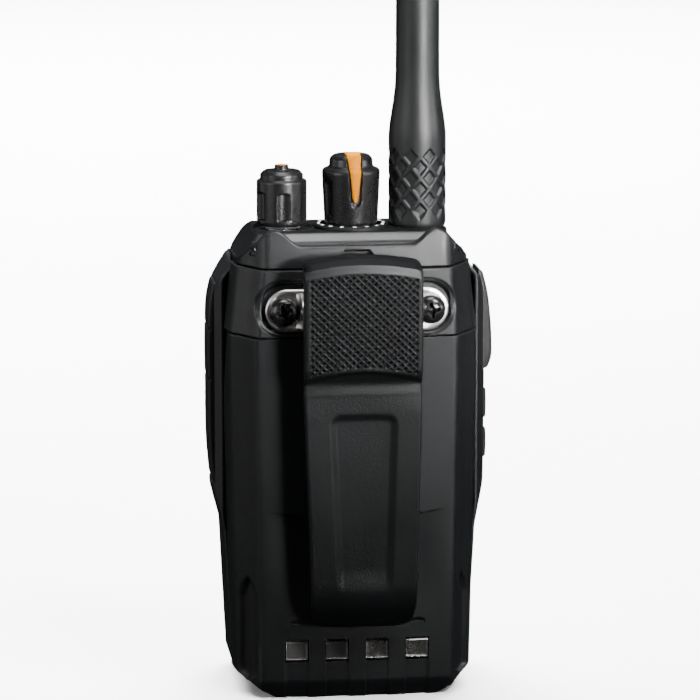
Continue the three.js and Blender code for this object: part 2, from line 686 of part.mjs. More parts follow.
function addElectronics() {
  const inside = assembly();
  addPiece(inside, 'main_board', 'board', mainBoard());
  addPiece(inside, 'rf_shield', 'nickel', rfShield());
  addPiece(inside, 'jack_block', 'moulded', jackBlock());
  addPiece(inside, 'terminal_block', 'moulded', terminalBlock());
  addPiece(inside, 'antenna_socket', 'brass', antennaSocket()).position.set(ANTENNA_X, CONTROL_Y, 0);
  addPiece(inside, 'push_to_talk_switch', 'nickel', block([25.2, 26.5], [2, 6], [75, 79]));
  const lens = bar('y', LENS.radius, 11.4, 16.6, [LENS.x, 0, LENS.z], 12);
  const capsule = bar('y', MICROPHONE.radius, 10.6, 13.4, [MICROPHONE.x, 0, MICROPHONE.z], 12);
  addPiece(inside, 'status_lens', 'lens', lens);
  addPiece(inside, 'microphone', 'nickel', capsule);

  const speaker = assembly(0, 8.2, SPEAKER_HEIGHT);
  speaker.rotation.x = -Math.PI / 2;
  addPiece(speaker, 'speaker_frame', 'nickel', speakerFrame());
  addPiece(speaker, 'speaker_cone', 'paper', speakerCone());
  addPiece(speaker, 'speaker_magnet', 'magnet', bar('z', 8, -4, -0.3, [0, 0, 0], 20));
  addPiece(speaker, 'speaker_cloth', 'paper', bar('z', 13, 6.5, 7.3, [0, 0, 0], 24));
}

function addControls() {
  const volume = assembly(VOLUME_X, CONTROL_Y, 0);
  addPiece(volume, 'volume_potentiometer', 'nickel', controlBody(4.9, 6.4));
  addPiece(volume, 'volume_nut', 'nickel', bushNut());
  addPiece(volume, 'volume_shaft', 'nickel', shaft(7.9));
  addPiece(volume, 'volume_knob', 'moulded', volumeKnob());
  addPiece(volume, 'volume_pin', 'accent', volumePin());

  const channel = assembly(CHANNEL_X, CONTROL_Y, 0);
  addPiece(channel, 'channel_switch', 'nickel', controlBody(5, 8.6));
  addPiece(channel, 'channel_nut', 'nickel', bushNut());
  addPiece(channel, 'channel_shaft', 'nickel', shaft(8));
  addPiece(channel, 'channel_knob', 'moulded', channelKnob());
  addPiece(channel, 'channel_pointer', 'accent', channelPointer());

  const antenna = assembly(ANTENNA_X, CONTROL_Y, 0);
  addPiece(antenna, 'antenna_sheath', 'rubber', antennaSheath());
  addPiece(antenna, 'antenna_connector', 'brass', turned([
    [0, 90], [2.4, 90], [2.4, 98.9], [4.8, 98.9], [4.8, 101.3], [0, 101.3],
  ], 16));
  addPiece(antenna, 'antenna_element', 'brass', bar('z', 1.2, 101.6, ANTENNA_TOP - 6.5, [0, 0, 0], 10));
}

function addSideControls() {
  const right = assembly();
  const buttonFace = [
    [27.7, 66.6], [29.8, 66.6, 0.8], [30.8, 69.6, 1], [30.8, 72, 3], [29.9, 83, 3],
    [28.7, 86.8, 1.2], [27.7, 87.8],
  ];
  addPiece(right, 'push_to_talk_button', 'rubber', prism('y', buttonFace, -0.6, 8.6));
  ['side_key_lower', 'side_key_upper'].forEach((name, i) => {
    const low = SIDE_KEY_HEIGHTS[i] - SIDE_KEY_HALF_HEIGHT;
    const high = SIDE_KEY_HEIGHTS[i] + SIDE_KEY_HALF_HEIGHT;
    const face = [[28, low], [29.7, low, 0.5], [29.8, high, 0.5], [28, high]];
    addPiece(right, name, 'rubber', prism('y', face, 0.4, 7.6));
  });
  const coverFace = [
    [-28.1, 43.8], [-28.1, 86], [-28.4, 86, 0], [-29.4, 83, 1], [-29.8, 77], [-29.8, 66],
    [-29.6, 50], [-29, 43.8, 1],
  ];
  addPiece(assembly(), 'jack_cover', 'rubber', prism('y', coverFace, -1.2, 8.8));
}

function addBeltClip() {
  const clip = assembly();
  addPiece(clip, 'clip_bracket', 'nickel', clipBracket());
  addPiece(clip, 'hinge_pin', 'darkSteel', hingePin(PIN_RADIUS, PIN_HALF_LENGTH));
  const spring = addPiece(clip, 'clip_spring', 'darkSteel', clipSpring());
  spring.position.set(0, CLIP_PIVOT_Y, CLIP_PIVOT_Z);
  addPiece(clip, 'belt_clip', 'moulded', beltClip());
  for (const [name, side] of [['clip_screw_left', -1], ['clip_screw_right', 1]]) {
    const screw = addPiece(clip, name, 'darkSteel', panScrew());
    screw.rotation.x = Math.PI / 2;
    screw.position.set(side * CLIP_SCREW_X, BACK_Y, CLIP_PIVOT_Z);
  }
}

function addBattery() {
  const pack = assembly();
  addPiece(pack, 'battery_case', 'moulded', batteryCase());
  addPiece(pack, 'battery_inner_cover', 'moulded', batteryInnerCover());
  addPiece(pack, 'battery_cell_left', 'cell', block([-18.6, -0.5], [-15.4, -6.5], [20, 72]));
  addPiece(pack, 'battery_cell_right', 'cell', block([0.5, 18.6], [-15.4, -6.5], [20, 72]));
  addPiece(pack, 'battery_board', 'board', block([-17, 17], [-14.6, -13.6], [5.5, 17.5]));
  contactPlaces().forEach((x, i) => {
    const half = CONTACT_SIZE / 2;
    const plate = block([x - half, x + half], [-17.1, -15], [CONTACT_Z - half, CONTACT_Z + half]);
    addPiece(pack, `charge_contact_${i + 1}`, 'nickel', plate);
  });
  addPiece(pack, 'battery_terminal_minus', 'nickel', block([-5.6, -2.4], [-5.1, -4.5], [66.4, 72.2]));
  addPiece(pack, 'battery_terminal_plus', 'nickel', block([2.4, 5.6], [-5.1, -4.5], [66.4, 72.2]));
  addPiece(assembly(LATCH_X), 'battery_latch', 'moulded', prism('x', [
    [-3.7, 0.4, 0.3], [-0.4, 0.4, 0.3], [-0.4, 3.3, 0], [-3.7, 3.3, 0],
  ], -4, 4));
}

addHousing();
addElectronics();
addControls();
addSideControls();
addBeltClip();
addBattery();

export default radio;
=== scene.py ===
"""Portable two-way radio, seen from behind: battery pack, belt clip, two knobs, antenna.

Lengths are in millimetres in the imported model's frame, until Surface.build() writes
them in metres. The stage, the lights and the camera are in metres. +Z is up, -Y is the
back of the radio, and +X is its right side as seen from behind.
"""

import math

import bmesh
import bpy
import numpy as np
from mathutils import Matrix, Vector


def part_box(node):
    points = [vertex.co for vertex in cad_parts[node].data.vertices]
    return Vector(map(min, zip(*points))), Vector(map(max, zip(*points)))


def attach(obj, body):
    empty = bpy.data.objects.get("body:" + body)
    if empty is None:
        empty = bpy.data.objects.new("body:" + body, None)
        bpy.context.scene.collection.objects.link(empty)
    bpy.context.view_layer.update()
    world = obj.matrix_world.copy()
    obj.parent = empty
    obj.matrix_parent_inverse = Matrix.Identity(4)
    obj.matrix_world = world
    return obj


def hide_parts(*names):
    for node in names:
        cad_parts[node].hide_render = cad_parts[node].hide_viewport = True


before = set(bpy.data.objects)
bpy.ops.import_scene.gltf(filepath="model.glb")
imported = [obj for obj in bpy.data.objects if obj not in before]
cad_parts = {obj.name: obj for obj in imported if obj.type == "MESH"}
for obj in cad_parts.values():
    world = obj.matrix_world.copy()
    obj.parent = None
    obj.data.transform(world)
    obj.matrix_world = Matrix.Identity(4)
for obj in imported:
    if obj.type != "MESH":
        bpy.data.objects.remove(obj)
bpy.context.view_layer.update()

MM = 0.001


def span(node):
    """The lowest and highest corners of a CAD node, in millimetres."""
    low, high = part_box(node)
    return np.array(low) / MM, np.array(high) / MM


# ---- driving sizes

PACK_LOW, PACK_HIGH = span("battery_case")
HOUSING_TOP = span("front_housing")[1][2]
COVER_LOW, COVER_HIGH = span("rear_cover")
TOP_LOW, TOP_HIGH = span("top_cover")

BACK_Y = PACK_LOW[1]
SEAM_Y = PACK_HIGH[1]
GAP = COVER_LOW[2] - PACK_HIGH[2]
PACK_WALL, COVER_WALL, TOP_WALL = 1.8, 1.6, 1.2
CROWN = 0.8              # how far the back falls away at 20 mm from its middle
BEHIND, IN_FRONT = np.array([0, -200, 60]), np.array([0, 200, 60])


def stacked(*coordinates):
    """One array of points from an array for each coordinate."""
    return np.stack(coordinates, -1)


def middle(node):
    low, high = span(node)
    return (low + high) / 2


def half_width(node):
    low, high = span(node)
    return (high[0] - low[0]) / 2


# ---- curves and blends

def smooth(t):
    """0 below 0, 1 above 1, with a soft start and end."""
    t = np.clip(t, 0, 1)
    return t * t * (3 - 2 * t)


def inside(value, low, high, edge):
    """1 between low and high, falling to 0 over the edge width outside them."""
    return smooth((value - low) / edge + 1) * smooth((high - value) / edge + 1)


def soft_min(a, b, reach):
    share = np.clip(0.5 + 0.5 * (b - a) / reach, 0, 1)
    return b * (1 - share) + a * share - reach * share * (1 - share)


def soft_max(a, b, reach):
    return -soft_min(-a, -b, reach)


def follow(points, at):
    """A value along a polyline of (position, value) pairs."""
    positions, values = zip(*points)
    return np.interp(at, positions, values)


def curve(points, at):
    """The same polyline, with its corners blended into a smooth curve."""
    positions, values = (np.array(row, float) for row in zip(*points))
    slopes = np.gradient(values, positions)
    k = np.clip(np.searchsorted(positions, at) - 1, 0, len(positions) - 2)
    width = positions[k + 1] - positions[k]
    t = np.clip((at - positions[k]) / width, 0, 1)
    a, b = values[k], values[k + 1]
    return ((2 * t**3 - 3 * t**2 + 1) * a + (t**3 - 2 * t**2 + t) * width * slopes[k]
            + (3 * t**2 - 2 * t**3) * b + (t**3 - t**2) * width * slopes[k + 1])


def samples(start, stop, step, marks=(), fine=0.1, reach=0.4):
    """Even samples, with finer ones on both sides of every mark."""
    values = [np.linspace(start, stop, max(2, int(round((stop - start) / step)) + 1))]
    for mark in marks:
        values.append(np.arange(mark - reach, mark + reach + fine / 2, fine))
    values = np.unique(np.clip(np.concatenate(values), start, stop))
    kept = [values[0]]
    for value in values[1:]:
        if value - kept[-1] > fine * 0.6:
            kept.append(value)
    kept[-1] = stop
    return np.array(kept)


def rounded(corners):
    """A polyline through corners (x, y, radius), each rounded off but the first and last."""
    points = []
    for i, corner in enumerate(corners):
        here = np.array(corner[:2], float)
        radius = corner[2] if len(corner) > 2 else 0
        if i in (0, len(corners) - 1) or radius == 0:
            points.append(here)
            continue
        before = np.array(corners[i - 1][:2], float) - here
        after = np.array(corners[i + 1][:2], float) - here
        start = here + before * min(radius / np.linalg.norm(before), 0.48)
        end = here + after * min(radius / np.linalg.norm(after), 0.48)
        for t in np.linspace(0, 1, 9):
            points.append(start * (1 - t)**2 + here * 2 * t * (1 - t) + end * t * t)
    return np.array(points)


def lengths_along(points):
    steps = np.linalg.norm(np.diff(points, axis=0), axis=1)
    return np.concatenate([[0], np.cumsum(steps)])


def resample(points, step, marks_x=(), marks_y=(), fine=0.1, reach=0.4):
    """The polyline at even steps, and finer where it passes the marked positions."""
    along = lengths_along(points)
    marks = []
    for axis, mark in [(0, x) for x in marks_x] + [(1, y) for y in marks_y]:
        value = points[:, axis] - mark
        for k in np.flatnonzero(np.diff(np.sign(value))):
            share = value[k] / (value[k] - value[k + 1])
            marks.append(along[k] + share * (along[k + 1] - along[k]))
    at = samples(0, along[-1], step, marks, fine, reach)
    return stacked(*(np.interp(at, along, points[:, i]) for i in range(points.shape[1])))


def mirrored(half):
    """The corners of the right half, then the same corners back along the left half."""
    return list(half) + [(-c[0], *c[1:]) for c in reversed(half)]


def apart(turn, angle):
    """The angle from one direction to another, between -pi and pi."""
    return np.angle(np.exp(1j * (turn - angle)))


# ---- mesh making

class Surface:
    """Collects grids of points and turns them into one mesh object."""

    def __init__(self):
        self.points, self.faces, self.regions = [], [], []
        self.count = 0

    def grid(self, points, around=False, region=0):
        rows, cols = points.shape[:2]
        index = np.arange(rows * cols).reshape(rows, cols) + self.count
        if around:
            index = np.hstack([index, index[:, :1]])
        quads = stacked(index[:-1, :-1], index[:-1, 1:], index[1:, 1:], index[1:, :-1])
        self.points.append(points.reshape(-1, 3))
        self.faces.append(quads.reshape(-1, 4))
        self.regions.append(np.full(quads.size // 4, 0) + region)
        self.count += rows * cols
        return self

    def cap(self, ring, centre, rows):
        """Closes a ring of points onto a centre point."""
        scale = np.linspace(1, 0, rows + 1)[:, None, None]
        centre = np.array(centre, float)
        return self.grid(centre + (ring[None] - centre) * scale)

    def slab(self, front, back):
        """A closed block between two grids that match."""
        self.grid(front).grid(back)
        for edge in (np.s_[0], np.s_[-1], np.s_[:, 0], np.s_[:, -1]):
            self.grid(np.stack([front[edge], back[edge]]))
        return self

    def build(self, name, sharp=40):
        points = np.concatenate(self.points) * MM
        faces = np.concatenate(self.faces)
        mesh = bpy.data.meshes.new(name)
        mesh.from_pydata(points.tolist(), [], faces.tolist())
        mesh.polygons.foreach_set("material_index", np.concatenate(self.regions).astype(np.int32))
        made = bmesh.new()
        made.from_mesh(mesh)
        bmesh.ops.remove_doubles(made, verts=made.verts, dist=0.002 * MM)
        bmesh.ops.dissolve_degenerate(made, edges=made.edges, dist=0.002 * MM)
        bmesh.ops.recalc_face_normals(made, faces=made.faces)
        made.to_mesh(mesh)
        made.free()
        mesh.polygons.foreach_set("use_smooth", np.ones(len(mesh.polygons), bool))
        mesh.set_sharp_from_angle(angle=math.radians(sharp))
        piece = bpy.data.objects.new(name, mesh)
        bpy.context.scene.collection.objects.link(piece)
        return piece


def normals_of(points):
    across = np.gradient(points, axis=1)
    along = np.gradient(points, axis=0)
    normal = np.cross(across, along)
    return normal / np.maximum(np.linalg.norm(normal, axis=-1, keepdims=True), 1e-9)


def sunk(points, depth_at, outward):
    """Pushes a grid's points in along its normals. outward is a point that lies outside."""
    normal = normals_of(points)
    if (normal * (outward - points)).sum(-1).mean() < 0:
        normal = -normal
    return points - normal * depth_at(points, normal)[..., None]


def fallen(inset, radius):
    """How far a rounded edge has fallen away at a distance in from its border."""
    t = np.clip(radius - inset, 0, radius)
    return radius - np.sqrt(radius**2 - t**2)


def end_rounding(z, low, high, radius):
    """How far a wall steps back near its lower and upper ends for a rounded edge."""
    return fallen(np.minimum(z - low, high - z), radius)


def thicken(piece, wall):
    modifier = piece.modifiers.new("wall", "SOLIDIFY")
    modifier.thickness = wall * MM
    modifier.offset = -1
    return piece


MATERIALS = {}           # filled by build() before any piece is made


def finish_piece(piece, body, slot_name, nodes, *looks):
    """Gives a piece its materials and its body, and hides the CAD nodes it replaces. slot_name is not
    used.
    """
    for look in looks:
        piece.data.materials.append(MATERIALS[look])
    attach(piece, body)
    if nodes:
        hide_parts(*nodes)


def spun(name, profile, axis, angles, sharp, radius_at=None):
    """A piece turned about an upright axis, from (radius, z) pairs."""
    turn, radius = np.meshgrid(np.linspace(0, 2 * math.pi, angles, endpoint=False), profile[:, 0])
    z = profile[:, 1:2] + 0 * turn
    if radius_at is not None:
        radius, z = radius_at(radius, turn, z)
    points = stacked(axis[0] + radius * np.cos(turn), axis[1] + radius * np.sin(turn), z)
    return Surface().grid(points, around=True).build(name, sharp)


# ---- materials

def linked(tree, kind, inputs=None, **settings):
    """A new shader node, its inputs set to values or linked to other nodes' outputs."""
    node = tree.nodes.new(kind)
    for key, value in settings.items():
        setattr(node, key, value)
    for key, value in (inputs or {}).items():
        if isinstance(value, bpy.types.NodeSocket):
            tree.links.new(value, node.inputs[key])
        else:
            node.inputs[key].default_value = value
    return node


def noise(tree, size, detail, stretch=(1, 1, 1)):
    """Noise with features of a size in millimetres, fixed to the object."""
    place = linked(tree, "ShaderNodeTexCoord")
    mapping = linked(tree, "ShaderNodeMapping",
                     {"Vector": place.outputs["Object"], "Scale": stretch})
    texture = linked(tree, "ShaderNodeTexNoise",
                     {"Vector": mapping.outputs["Vector"], "Scale": 1 / (size * MM),
                      "Detail": detail, "Roughness": 0.6})
    return texture.outputs["Fac"]


def ranged(tree, value, low, high, start=0.0, end=1.0):
    node = linked(tree, "ShaderNodeMapRange",
                  {"Value": value, "From Min": start, "From Max": end,
                   "To Min": low, "To Max": high})
    return node.outputs["Result"]


def blended(tree, factor, a, b):
    node = linked(tree, "ShaderNodeMix", data_type="RGBA")
    tree.links.new(factor, node.inputs[0])
    for socket, colour in ((node.inputs[6], a), (node.inputs[7], b)):
        if isinstance(colour, bpy.types.NodeSocket):
            tree.links.new(colour, socket)
        else:
            socket.default_value = (*colour, 1)
    return node.outputs[2]


def surfaced(name, colour, worn, roughness, grain, bump, mottle=0.12, metallic=0.0,
             coat=0.0, stretch=(1, 1, 1), specular=0.5, depth=0.06):
    """A moulded or metal surface: fine grain, patchy gloss, tone drift, rubbed edges.

    grain is the grain size and depth its height, both in millimetres. worn is the
    colour of the rubbed edges, and roughness a (low, high) pair.
    """
    material = bpy.data.materials.new(name)
    material.use_nodes = True
    tree = material.node_tree
    shader = tree.nodes["Principled BSDF"]
    shader.inputs["Metallic"].default_value = metallic
    shader.inputs["Coat Weight"].default_value = coat
    shader.inputs["Coat Roughness"].default_value = 0.12
    shader.inputs["Specular IOR Level"].default_value = specular

    fine = noise(tree, grain, 3.0, stretch)
    patches = noise(tree, 9.0, 3.0)
    drift = noise(tree, 28.0, 2.0)
    dark = tuple(c * (1 - mottle) for c in colour)
    light = tuple(min(1, c * (1 + mottle)) for c in colour)
    tone = blended(tree, ranged(tree, drift, 0, 1, 0.3, 0.7), dark, light)
    speckle = ranged(tree, fine, 0, 1, 0.62, 0.8)
    pale = tuple(min(1, c * (1 + 3 * mottle)) for c in colour)
    tone = blended(tree, speckle, tone, pale)

    edges = linked(tree, "ShaderNodeNewGeometry").outputs["Pointiness"]
    rubbed = ranged(tree, edges, 0, 0.7, 0.52, 0.6)
    scuffs = ranged(tree, noise(tree, 0.8, 4.0), 0.45, 1, 0.4, 0.65)
    wear = linked(tree, "ShaderNodeMath", {0: rubbed, 1: scuffs}, operation="MULTIPLY")
    tree.links.new(blended(tree, wear.outputs[0], tone, worn), shader.inputs["Base Color"])

    low, high = roughness
    gloss = ranged(tree, patches, low, high, 0.3, 0.7)
    spread = linked(tree, "ShaderNodeMath", {0: gloss, 1: ranged(tree, fine, -0.05, 0.05)},
                    operation="ADD")
    tree.links.new(spread.outputs[0], shader.inputs["Roughness"])

    relief = linked(tree, "ShaderNodeBump",
                    {"Height": fine, "Strength": bump, "Distance": depth * MM})
    tree.links.new(relief.outputs["Normal"], shader.inputs["Normal"])
    return material


def all_materials():
    """Every material: name, colour, worn colour, roughness, grain size, bump, the rest."""
    black, rubbed, dull = (0.0048, 0.0052, 0.0056), (0.02, 0.021, 0.022), (0.018, 0.018, 0.019)
    dark, metal = (0.012, 0.012, 0.013), {"metallic": 1.0}
    table = {
        "case": ("moulded_case", black, rubbed, (0.36, 0.46), 0.2, 0.5, {"specular": 0.29}),
        # deck: a lighter, glossier copy of the case plastic for the band behind the rear wall; its
        # lighter colour is a painted sheen
        "deck": ("polished_deck", (0.012, 0.0125, 0.013), (0.03, 0.03, 0.031), (0.36, 0.44), 0.5, 0.1,
                 {"specular": 0.6}),
        # matte: a darker, duller copy of the case plastic for the rest of the deck and the dial ring;
        # its darker colour is painted shade
        "matte": ("matte_shoulder", (0.003, 0.0032, 0.0034), dark, (0.45, 0.55), 0.2, 0.4,
                  {"specular": 0.12}),
        "clip": ("grained_clip", (0.0032, 0.0036, 0.0038), (0.012, 0.0125, 0.013), (0.4, 0.5), 0.34,
                 0.8, {"mottle": 0.25, "depth": 0.08, "specular": 0.12}),
        "knob": ("knob_plastic", (0.004, 0.004, 0.0043), dull, (0.24, 0.33), 0.35, 0.15,
                 {"specular": 0.3}),
        "rubber": ("antenna_rubber", (0.005, 0.0053, 0.0056), dull, (0.38, 0.48), 0.2, 0.3,
                   {"specular": 0.26}),
        "key": ("key_rubber", (0.0045, 0.0045, 0.0048), dull, (0.42, 0.55), 0.18, 0.5,
                {"specular": 0.22}),
        "pack": ("pack_plastic", black, rubbed, (0.38, 0.48), 0.2, 0.5, {"specular": 0.18}),
        # lip: a darker, duller copy of the clip plastic for the clip's top lip; its darker colour is
        # painted shade
        "lip": ("clip_lip", (0.002, 0.0022, 0.0024), (0.008, 0.008, 0.008), (0.45, 0.55), 0.34, 0.6,
                {"specular": 0.04}),
        "accent": ("orange_accent", (0.29, 0.095, 0.0), (0.34, 0.12, 0.0), (0.5, 0.6), 0.3, 0.2,
                   {"mottle": 0.06, "specular": 0.03}),
        "nickel": ("nickel_plate", (0.62, 0.61, 0.59), (0.85, 0.84, 0.82), (0.26, 0.36), 0.12, 0.2,
                   {"mottle": 0.08, "stretch": (1, 1, 6), **metal}),
        "contact": ("worn_contact", (0.16, 0.156, 0.15), (0.9, 0.88, 0.84), (0.2, 0.34), 0.16, 0.4,
                    {"mottle": 0.3, **metal}),
        "steel": ("black_steel", (0.006, 0.006, 0.0062), (0.06, 0.06, 0.06), (0.2, 0.28), 0.2, 0.2,
                  {"specular": 0.4}),
        "brass": ("brass", (0.55, 0.38, 0.14), (0.8, 0.62, 0.3), (0.25, 0.4), 0.2, 0.2, metal),
        "cast": ("cast_metal", (0.35, 0.355, 0.36), (0.6, 0.6, 0.6), (0.45, 0.6), 0.4, 0.8, metal),
        "board": ("circuit_board", (0.02, 0.1, 0.035), (0.3, 0.25, 0.08), (0.35, 0.5), 0.6, 0.2,
                  {"mottle": 0.3}),
        "cell": ("cell_wrap", (0.03, 0.12, 0.32), (0.2, 0.3, 0.5), (0.3, 0.45), 0.8, 0.1, {}),
        "magnet": ("magnet", (0.05, 0.05, 0.055), (0.2, 0.2, 0.2), (0.4, 0.55), 0.5, 0.4,
                   {"metallic": 0.8}),
        "paper": ("speaker_paper", (0.02, 0.019, 0.017), (0.06, 0.055, 0.05), (0.75, 0.9), 0.25, 0.9,
                  {}),
        "lens": ("lens", (0.45, 0.6, 0.5), (0.8, 0.9, 0.85), (0.08, 0.16), 0.5, 0.05, {"coat": 0.5}),
        "marks": ("dial_marks", (0.75, 0.76, 0.77), (0.85, 0.85, 0.85), (0.5, 0.6), 0.3, 0.1, {}),
    }
    return {look: surfaced(*row, **rest) for look, (*row, rest) in table.items()}


# ---- battery pack

PACK_PLAN = [(26.95, SEAM_Y, 0), (26.2, -9.5, 2.0), (21.1, BACK_Y, 1.0)]
CONTACT_HALF = half_width("charge_contact_1")
CONTACT_Z = middle("charge_contact_1")[2]
CONTACT_X = [middle(f"charge_contact_{i}")[0] for i in (1, 2, 3, 4)]
STEP_Z, STEP_DEPTH = 38.7, 0.75     # the curved step across the pack, at its middle
FLUTE_X, FLUTE_TOP, FLUTE_DEPTH = 22.6, 25.4, 0.95


def pack_path(scale, step, marks):
    """The pack's outline from above, open at the seam with the housing."""
    corners = mirrored([(x * scale, *rest) for x, *rest in PACK_PLAN])
    return resample(rounded(corners), step, marks)


def loft(path, heights, shape):
    """A wall: the outline repeated at each height, then moved by shape(x, y, z)."""
    x, z = np.meshgrid(path[:, 0], heights)
    return stacked(*shape(x, path[:, 1] + 0 * z, z))


def walled(points, ends, seam_y, rows):
    """A wall's surface with flat ends that close it onto the middle of the seam."""
    surface = Surface().grid(points)
    for end in ends:
        surface.cap(points[end], (0, seam_y, points[end, 0, 2]), rows)
    return surface


def crowned(x, y):
    """The back bulges: it falls away slightly towards both sides."""
    return y + CROWN * (x / 20)**2 * smooth((-9.5 - y) / 6)


def pack_shape(x, y, z):
    """The pack's outside: tapering sides, chamfered lower corners, sloping foot."""
    x = x * (1 - 0.0007 * (PACK_HIGH[2] - z))
    limit = follow([(0, 16.8), (4.8, 25.4), (36, 26.9), (60, 26.9), (PACK_HIGH[2], 25.9)], z)
    x = np.sign(x) * soft_min(abs(x), limit, 0.5)
    foot = follow([(0, BACK_Y + 1.8), (4, BACK_Y)], z)
    return x, crowned(x, soft_max(y, foot, 0.3)), z


def pack_relief(points, normal):
    """How deep the pack's back is cut: step, side flutes, contact wells and two notches."""
    x, y, z = np.moveaxis(points, -1, 0)
    back = smooth((-normal[..., 1] - 0.8) / 0.15)
    side = abs(x)

    step_edge = STEP_Z + 1.7 * (side / 18.5)**2
    step = STEP_DEPTH * smooth((19 - side) / 10) * smooth((step_edge - z) / 0.22)
    step = step * smooth((z - 12) / 20) * back

    half = 1.75 * np.sqrt(np.clip((FLUTE_TOP - z) / 4, 0, 1)) * smooth((z - 3.2) / 2)
    flute = FLUTE_DEPTH * smooth((half - abs(side - FLUTE_X)) / 0.7) * smooth((-8 - y) / 1)

    depth = step + flute + end_rounding(z, -1, PACK_HIGH[2], 0.22)
    for contact_x in CONTACT_X:
        beside = abs(x - contact_x)
        window = CONTACT_HALF + 0.22
        hole = smooth((window - beside) / 0.16) * smooth((window - abs(z - CONTACT_Z)) / 0.16)
        channel = 0.28 * smooth((window - beside) / 0.3) * smooth((CONTACT_Z - z) / 0.5)
        depth = np.maximum(depth, 1.7 * hole * back) + channel * back * (1 - hole)
    for mark_x in (CONTACT_X[0] - 0.25, CONTACT_X[3] + 0.25):
        arch = 17.1 - 0.5 * ((x - mark_x) / 1.4)**2
        notch = smooth((1.45 - abs(x - mark_x)) / 0.2) * smooth((z - 15.9) / 0.12)
        depth = depth + 0.55 * notch * smooth((arch - z) / 0.5) * back
    return depth


def battery_case():
    window = CONTACT_HALF + 0.14
    marks_x = [x + side * window for x in CONTACT_X for side in (-1, 1)]
    marks_x += [side * x for side in (-1, 1) for x in (20.9, 23.8, 11.3, 14.6)]
    marks_z = [CONTACT_Z - window, CONTACT_Z + window, 15.9, 17, 39, 40.2, 27.6,
               PACK_HIGH[2] - 0.3, 0.3, 4.6]
    path = pack_path(1, 0.42, marks_x)
    heights = samples(0, PACK_HIGH[2], 0.45, marks_z)
    points = loft(path, heights, pack_shape)
    points = sunk(points, pack_relief, BEHIND)
    surface = walled(points, (0, -1), SEAM_Y, 10)
    piece = thicken(surface.build("battery_case_moulding"), PACK_WALL)
    finish_piece(piece, "battery", "case_plastic", ["battery_case"], "pack")


def charge_contact(index):
    """A plated contact: a flat face whose top and bottom edges are rolled forwards."""
    node = f"charge_contact_{index}"
    low, high = span(node)
    centre = (low + high) / 2
    marks = [-1.7, 1.7, -2.1, 2.1]
    across = samples(-CONTACT_HALF, CONTACT_HALF, 0.3, marks)
    x, z = np.meshgrid(across, across)
    lip = smooth((abs(z) - CONTACT_HALF + 0.75) / 0.25) * 0.5
    lip = np.maximum(lip, 0.2 * smooth((abs(x) - CONTACT_HALF + 0.4) / 0.3))
    curl = 0.5 * np.clip((abs(z) - CONTACT_HALF + 0.42) / 0.42, 0, 1)
    dish = 0.06 * np.cos(x * 1.1) * np.cos(z * 0.9)
    face = low[1] + 0.05 - lip + curl + dish
    front, back = (stacked(centre[0] + x, y, centre[2] + z) for y in (face, high[1] + 0 * x))
    piece = Surface().slab(front, back).build(f"{node}_plate")
    finish_piece(piece, "battery", "nickel_plate", [node], "contact")


# ---- rear cover

PIVOT = middle("hinge_pin")
RECESS_HALF = 15.0       # half the straight run of the clip plate's recess
RECESS_RADIUS = 6.1
RECESS_X, RECESS_Z = -0.2, PIVOT[2] + 0.5


def recess_distance(x, z):
    """How far a point lies from the line along the middle of the recess."""
    return np.hypot(np.maximum(abs(x - RECESS_X) - RECESS_HALF, 0), z - RECESS_Z)


def cover_relief(points, _normal):
    """The recess round the clip's plate, in two steps, and the cover's rounded edges."""
    x, y, z = np.moveaxis(points, -1, 0)
    back = smooth((-13 - y) / 2)
    edge = RECESS_RADIUS - recess_distance(x, z)
    recess = 0.5 * smooth(edge / 0.4) + 0.9 * smooth((edge - 0.6) / 0.8)
    return np.maximum(recess * back, end_rounding(z, COVER_LOW[2], COVER_HIGH[2], 0.22))


def rear_cover():
    marks_x = [side * (RECESS_HALF + r) for side in (-1, 1) for r in (RECESS_RADIUS, 5, 4)]
    path = pack_path(0.985, 0.3, marks_x)
    marks_z = [RECESS_Z + side * r for side in (-1, 1) for r in (RECESS_RADIUS - 0.2, 5)]
    marks_z += [COVER_LOW[2] + .2, COVER_HIGH[2] - .2]
    heights = samples(COVER_LOW[2], COVER_HIGH[2], 0.28, marks_z)

    def shape(x, y, z):
        return x * (1 - 0.004 * (z - COVER_LOW[2])), crowned(x, y), z

    points = sunk(loft(path, heights, shape), cover_relief, BEHIND)
    surface = walled(points, (0, -1), SEAM_Y, 8)
    piece = thicken(surface.build("rear_cover_moulding"), COVER_WALL)
    finish_piece(piece, "radio", "case_plastic", ["rear_cover"], "case")


# ---- top cover

TOP_REAR = [(24.6, 2, 3), (24.2, -8.5, 2.5), (19.5, -17.2, 1.6)]
TOP_FRONT = [(24.6, 2, 3), (24, 10, 4), (19, 14.8, 4)]
VOLUME, CHANNEL, ANTENNA = (middle(n) for n in ("volume_shaft", "channel_shaft", "antenna_connector"))
DECK_Z = TOP_HIGH[2] - 1.6
VALLEY_Z = TOP_HIGH[2] - 3.15        # the rear wall's edge between its two horns
WALL_INNER_Y = -14.3
GROOVE_WIDTH = 0.7
STRAP_SLOT_Z, STRAP_SLOT_HALF = (93.9, 95.15), 3.55
BAND_Y = -8.0            # the deck's smooth rear bevel starts here
SEAT_Z = TOP_HIGH[2] - 2.1  # the knobs' and the antenna's sunken seats


def wall_height(x):
    """The rear wall's top edge: a flat valley between two horns, sloping shoulders."""
    side = abs(x)
    rise = VALLEY_Z + (TOP_HIGH[2] - VALLEY_Z) * smooth((side - 11.4) / 5.2)
    fall = curve([(16.6, TOP_HIGH[2]), (18.2, TOP_HIGH[2] - 0.45), (20.6, TOP_HIGH[2] - 2.6),
                  (24.6, TOP_HIGH[2] - 6.2)], np.maximum(side, 16.6))
    return np.where(side < 16.6, rise, np.minimum(fall, TOP_HIGH[2]))


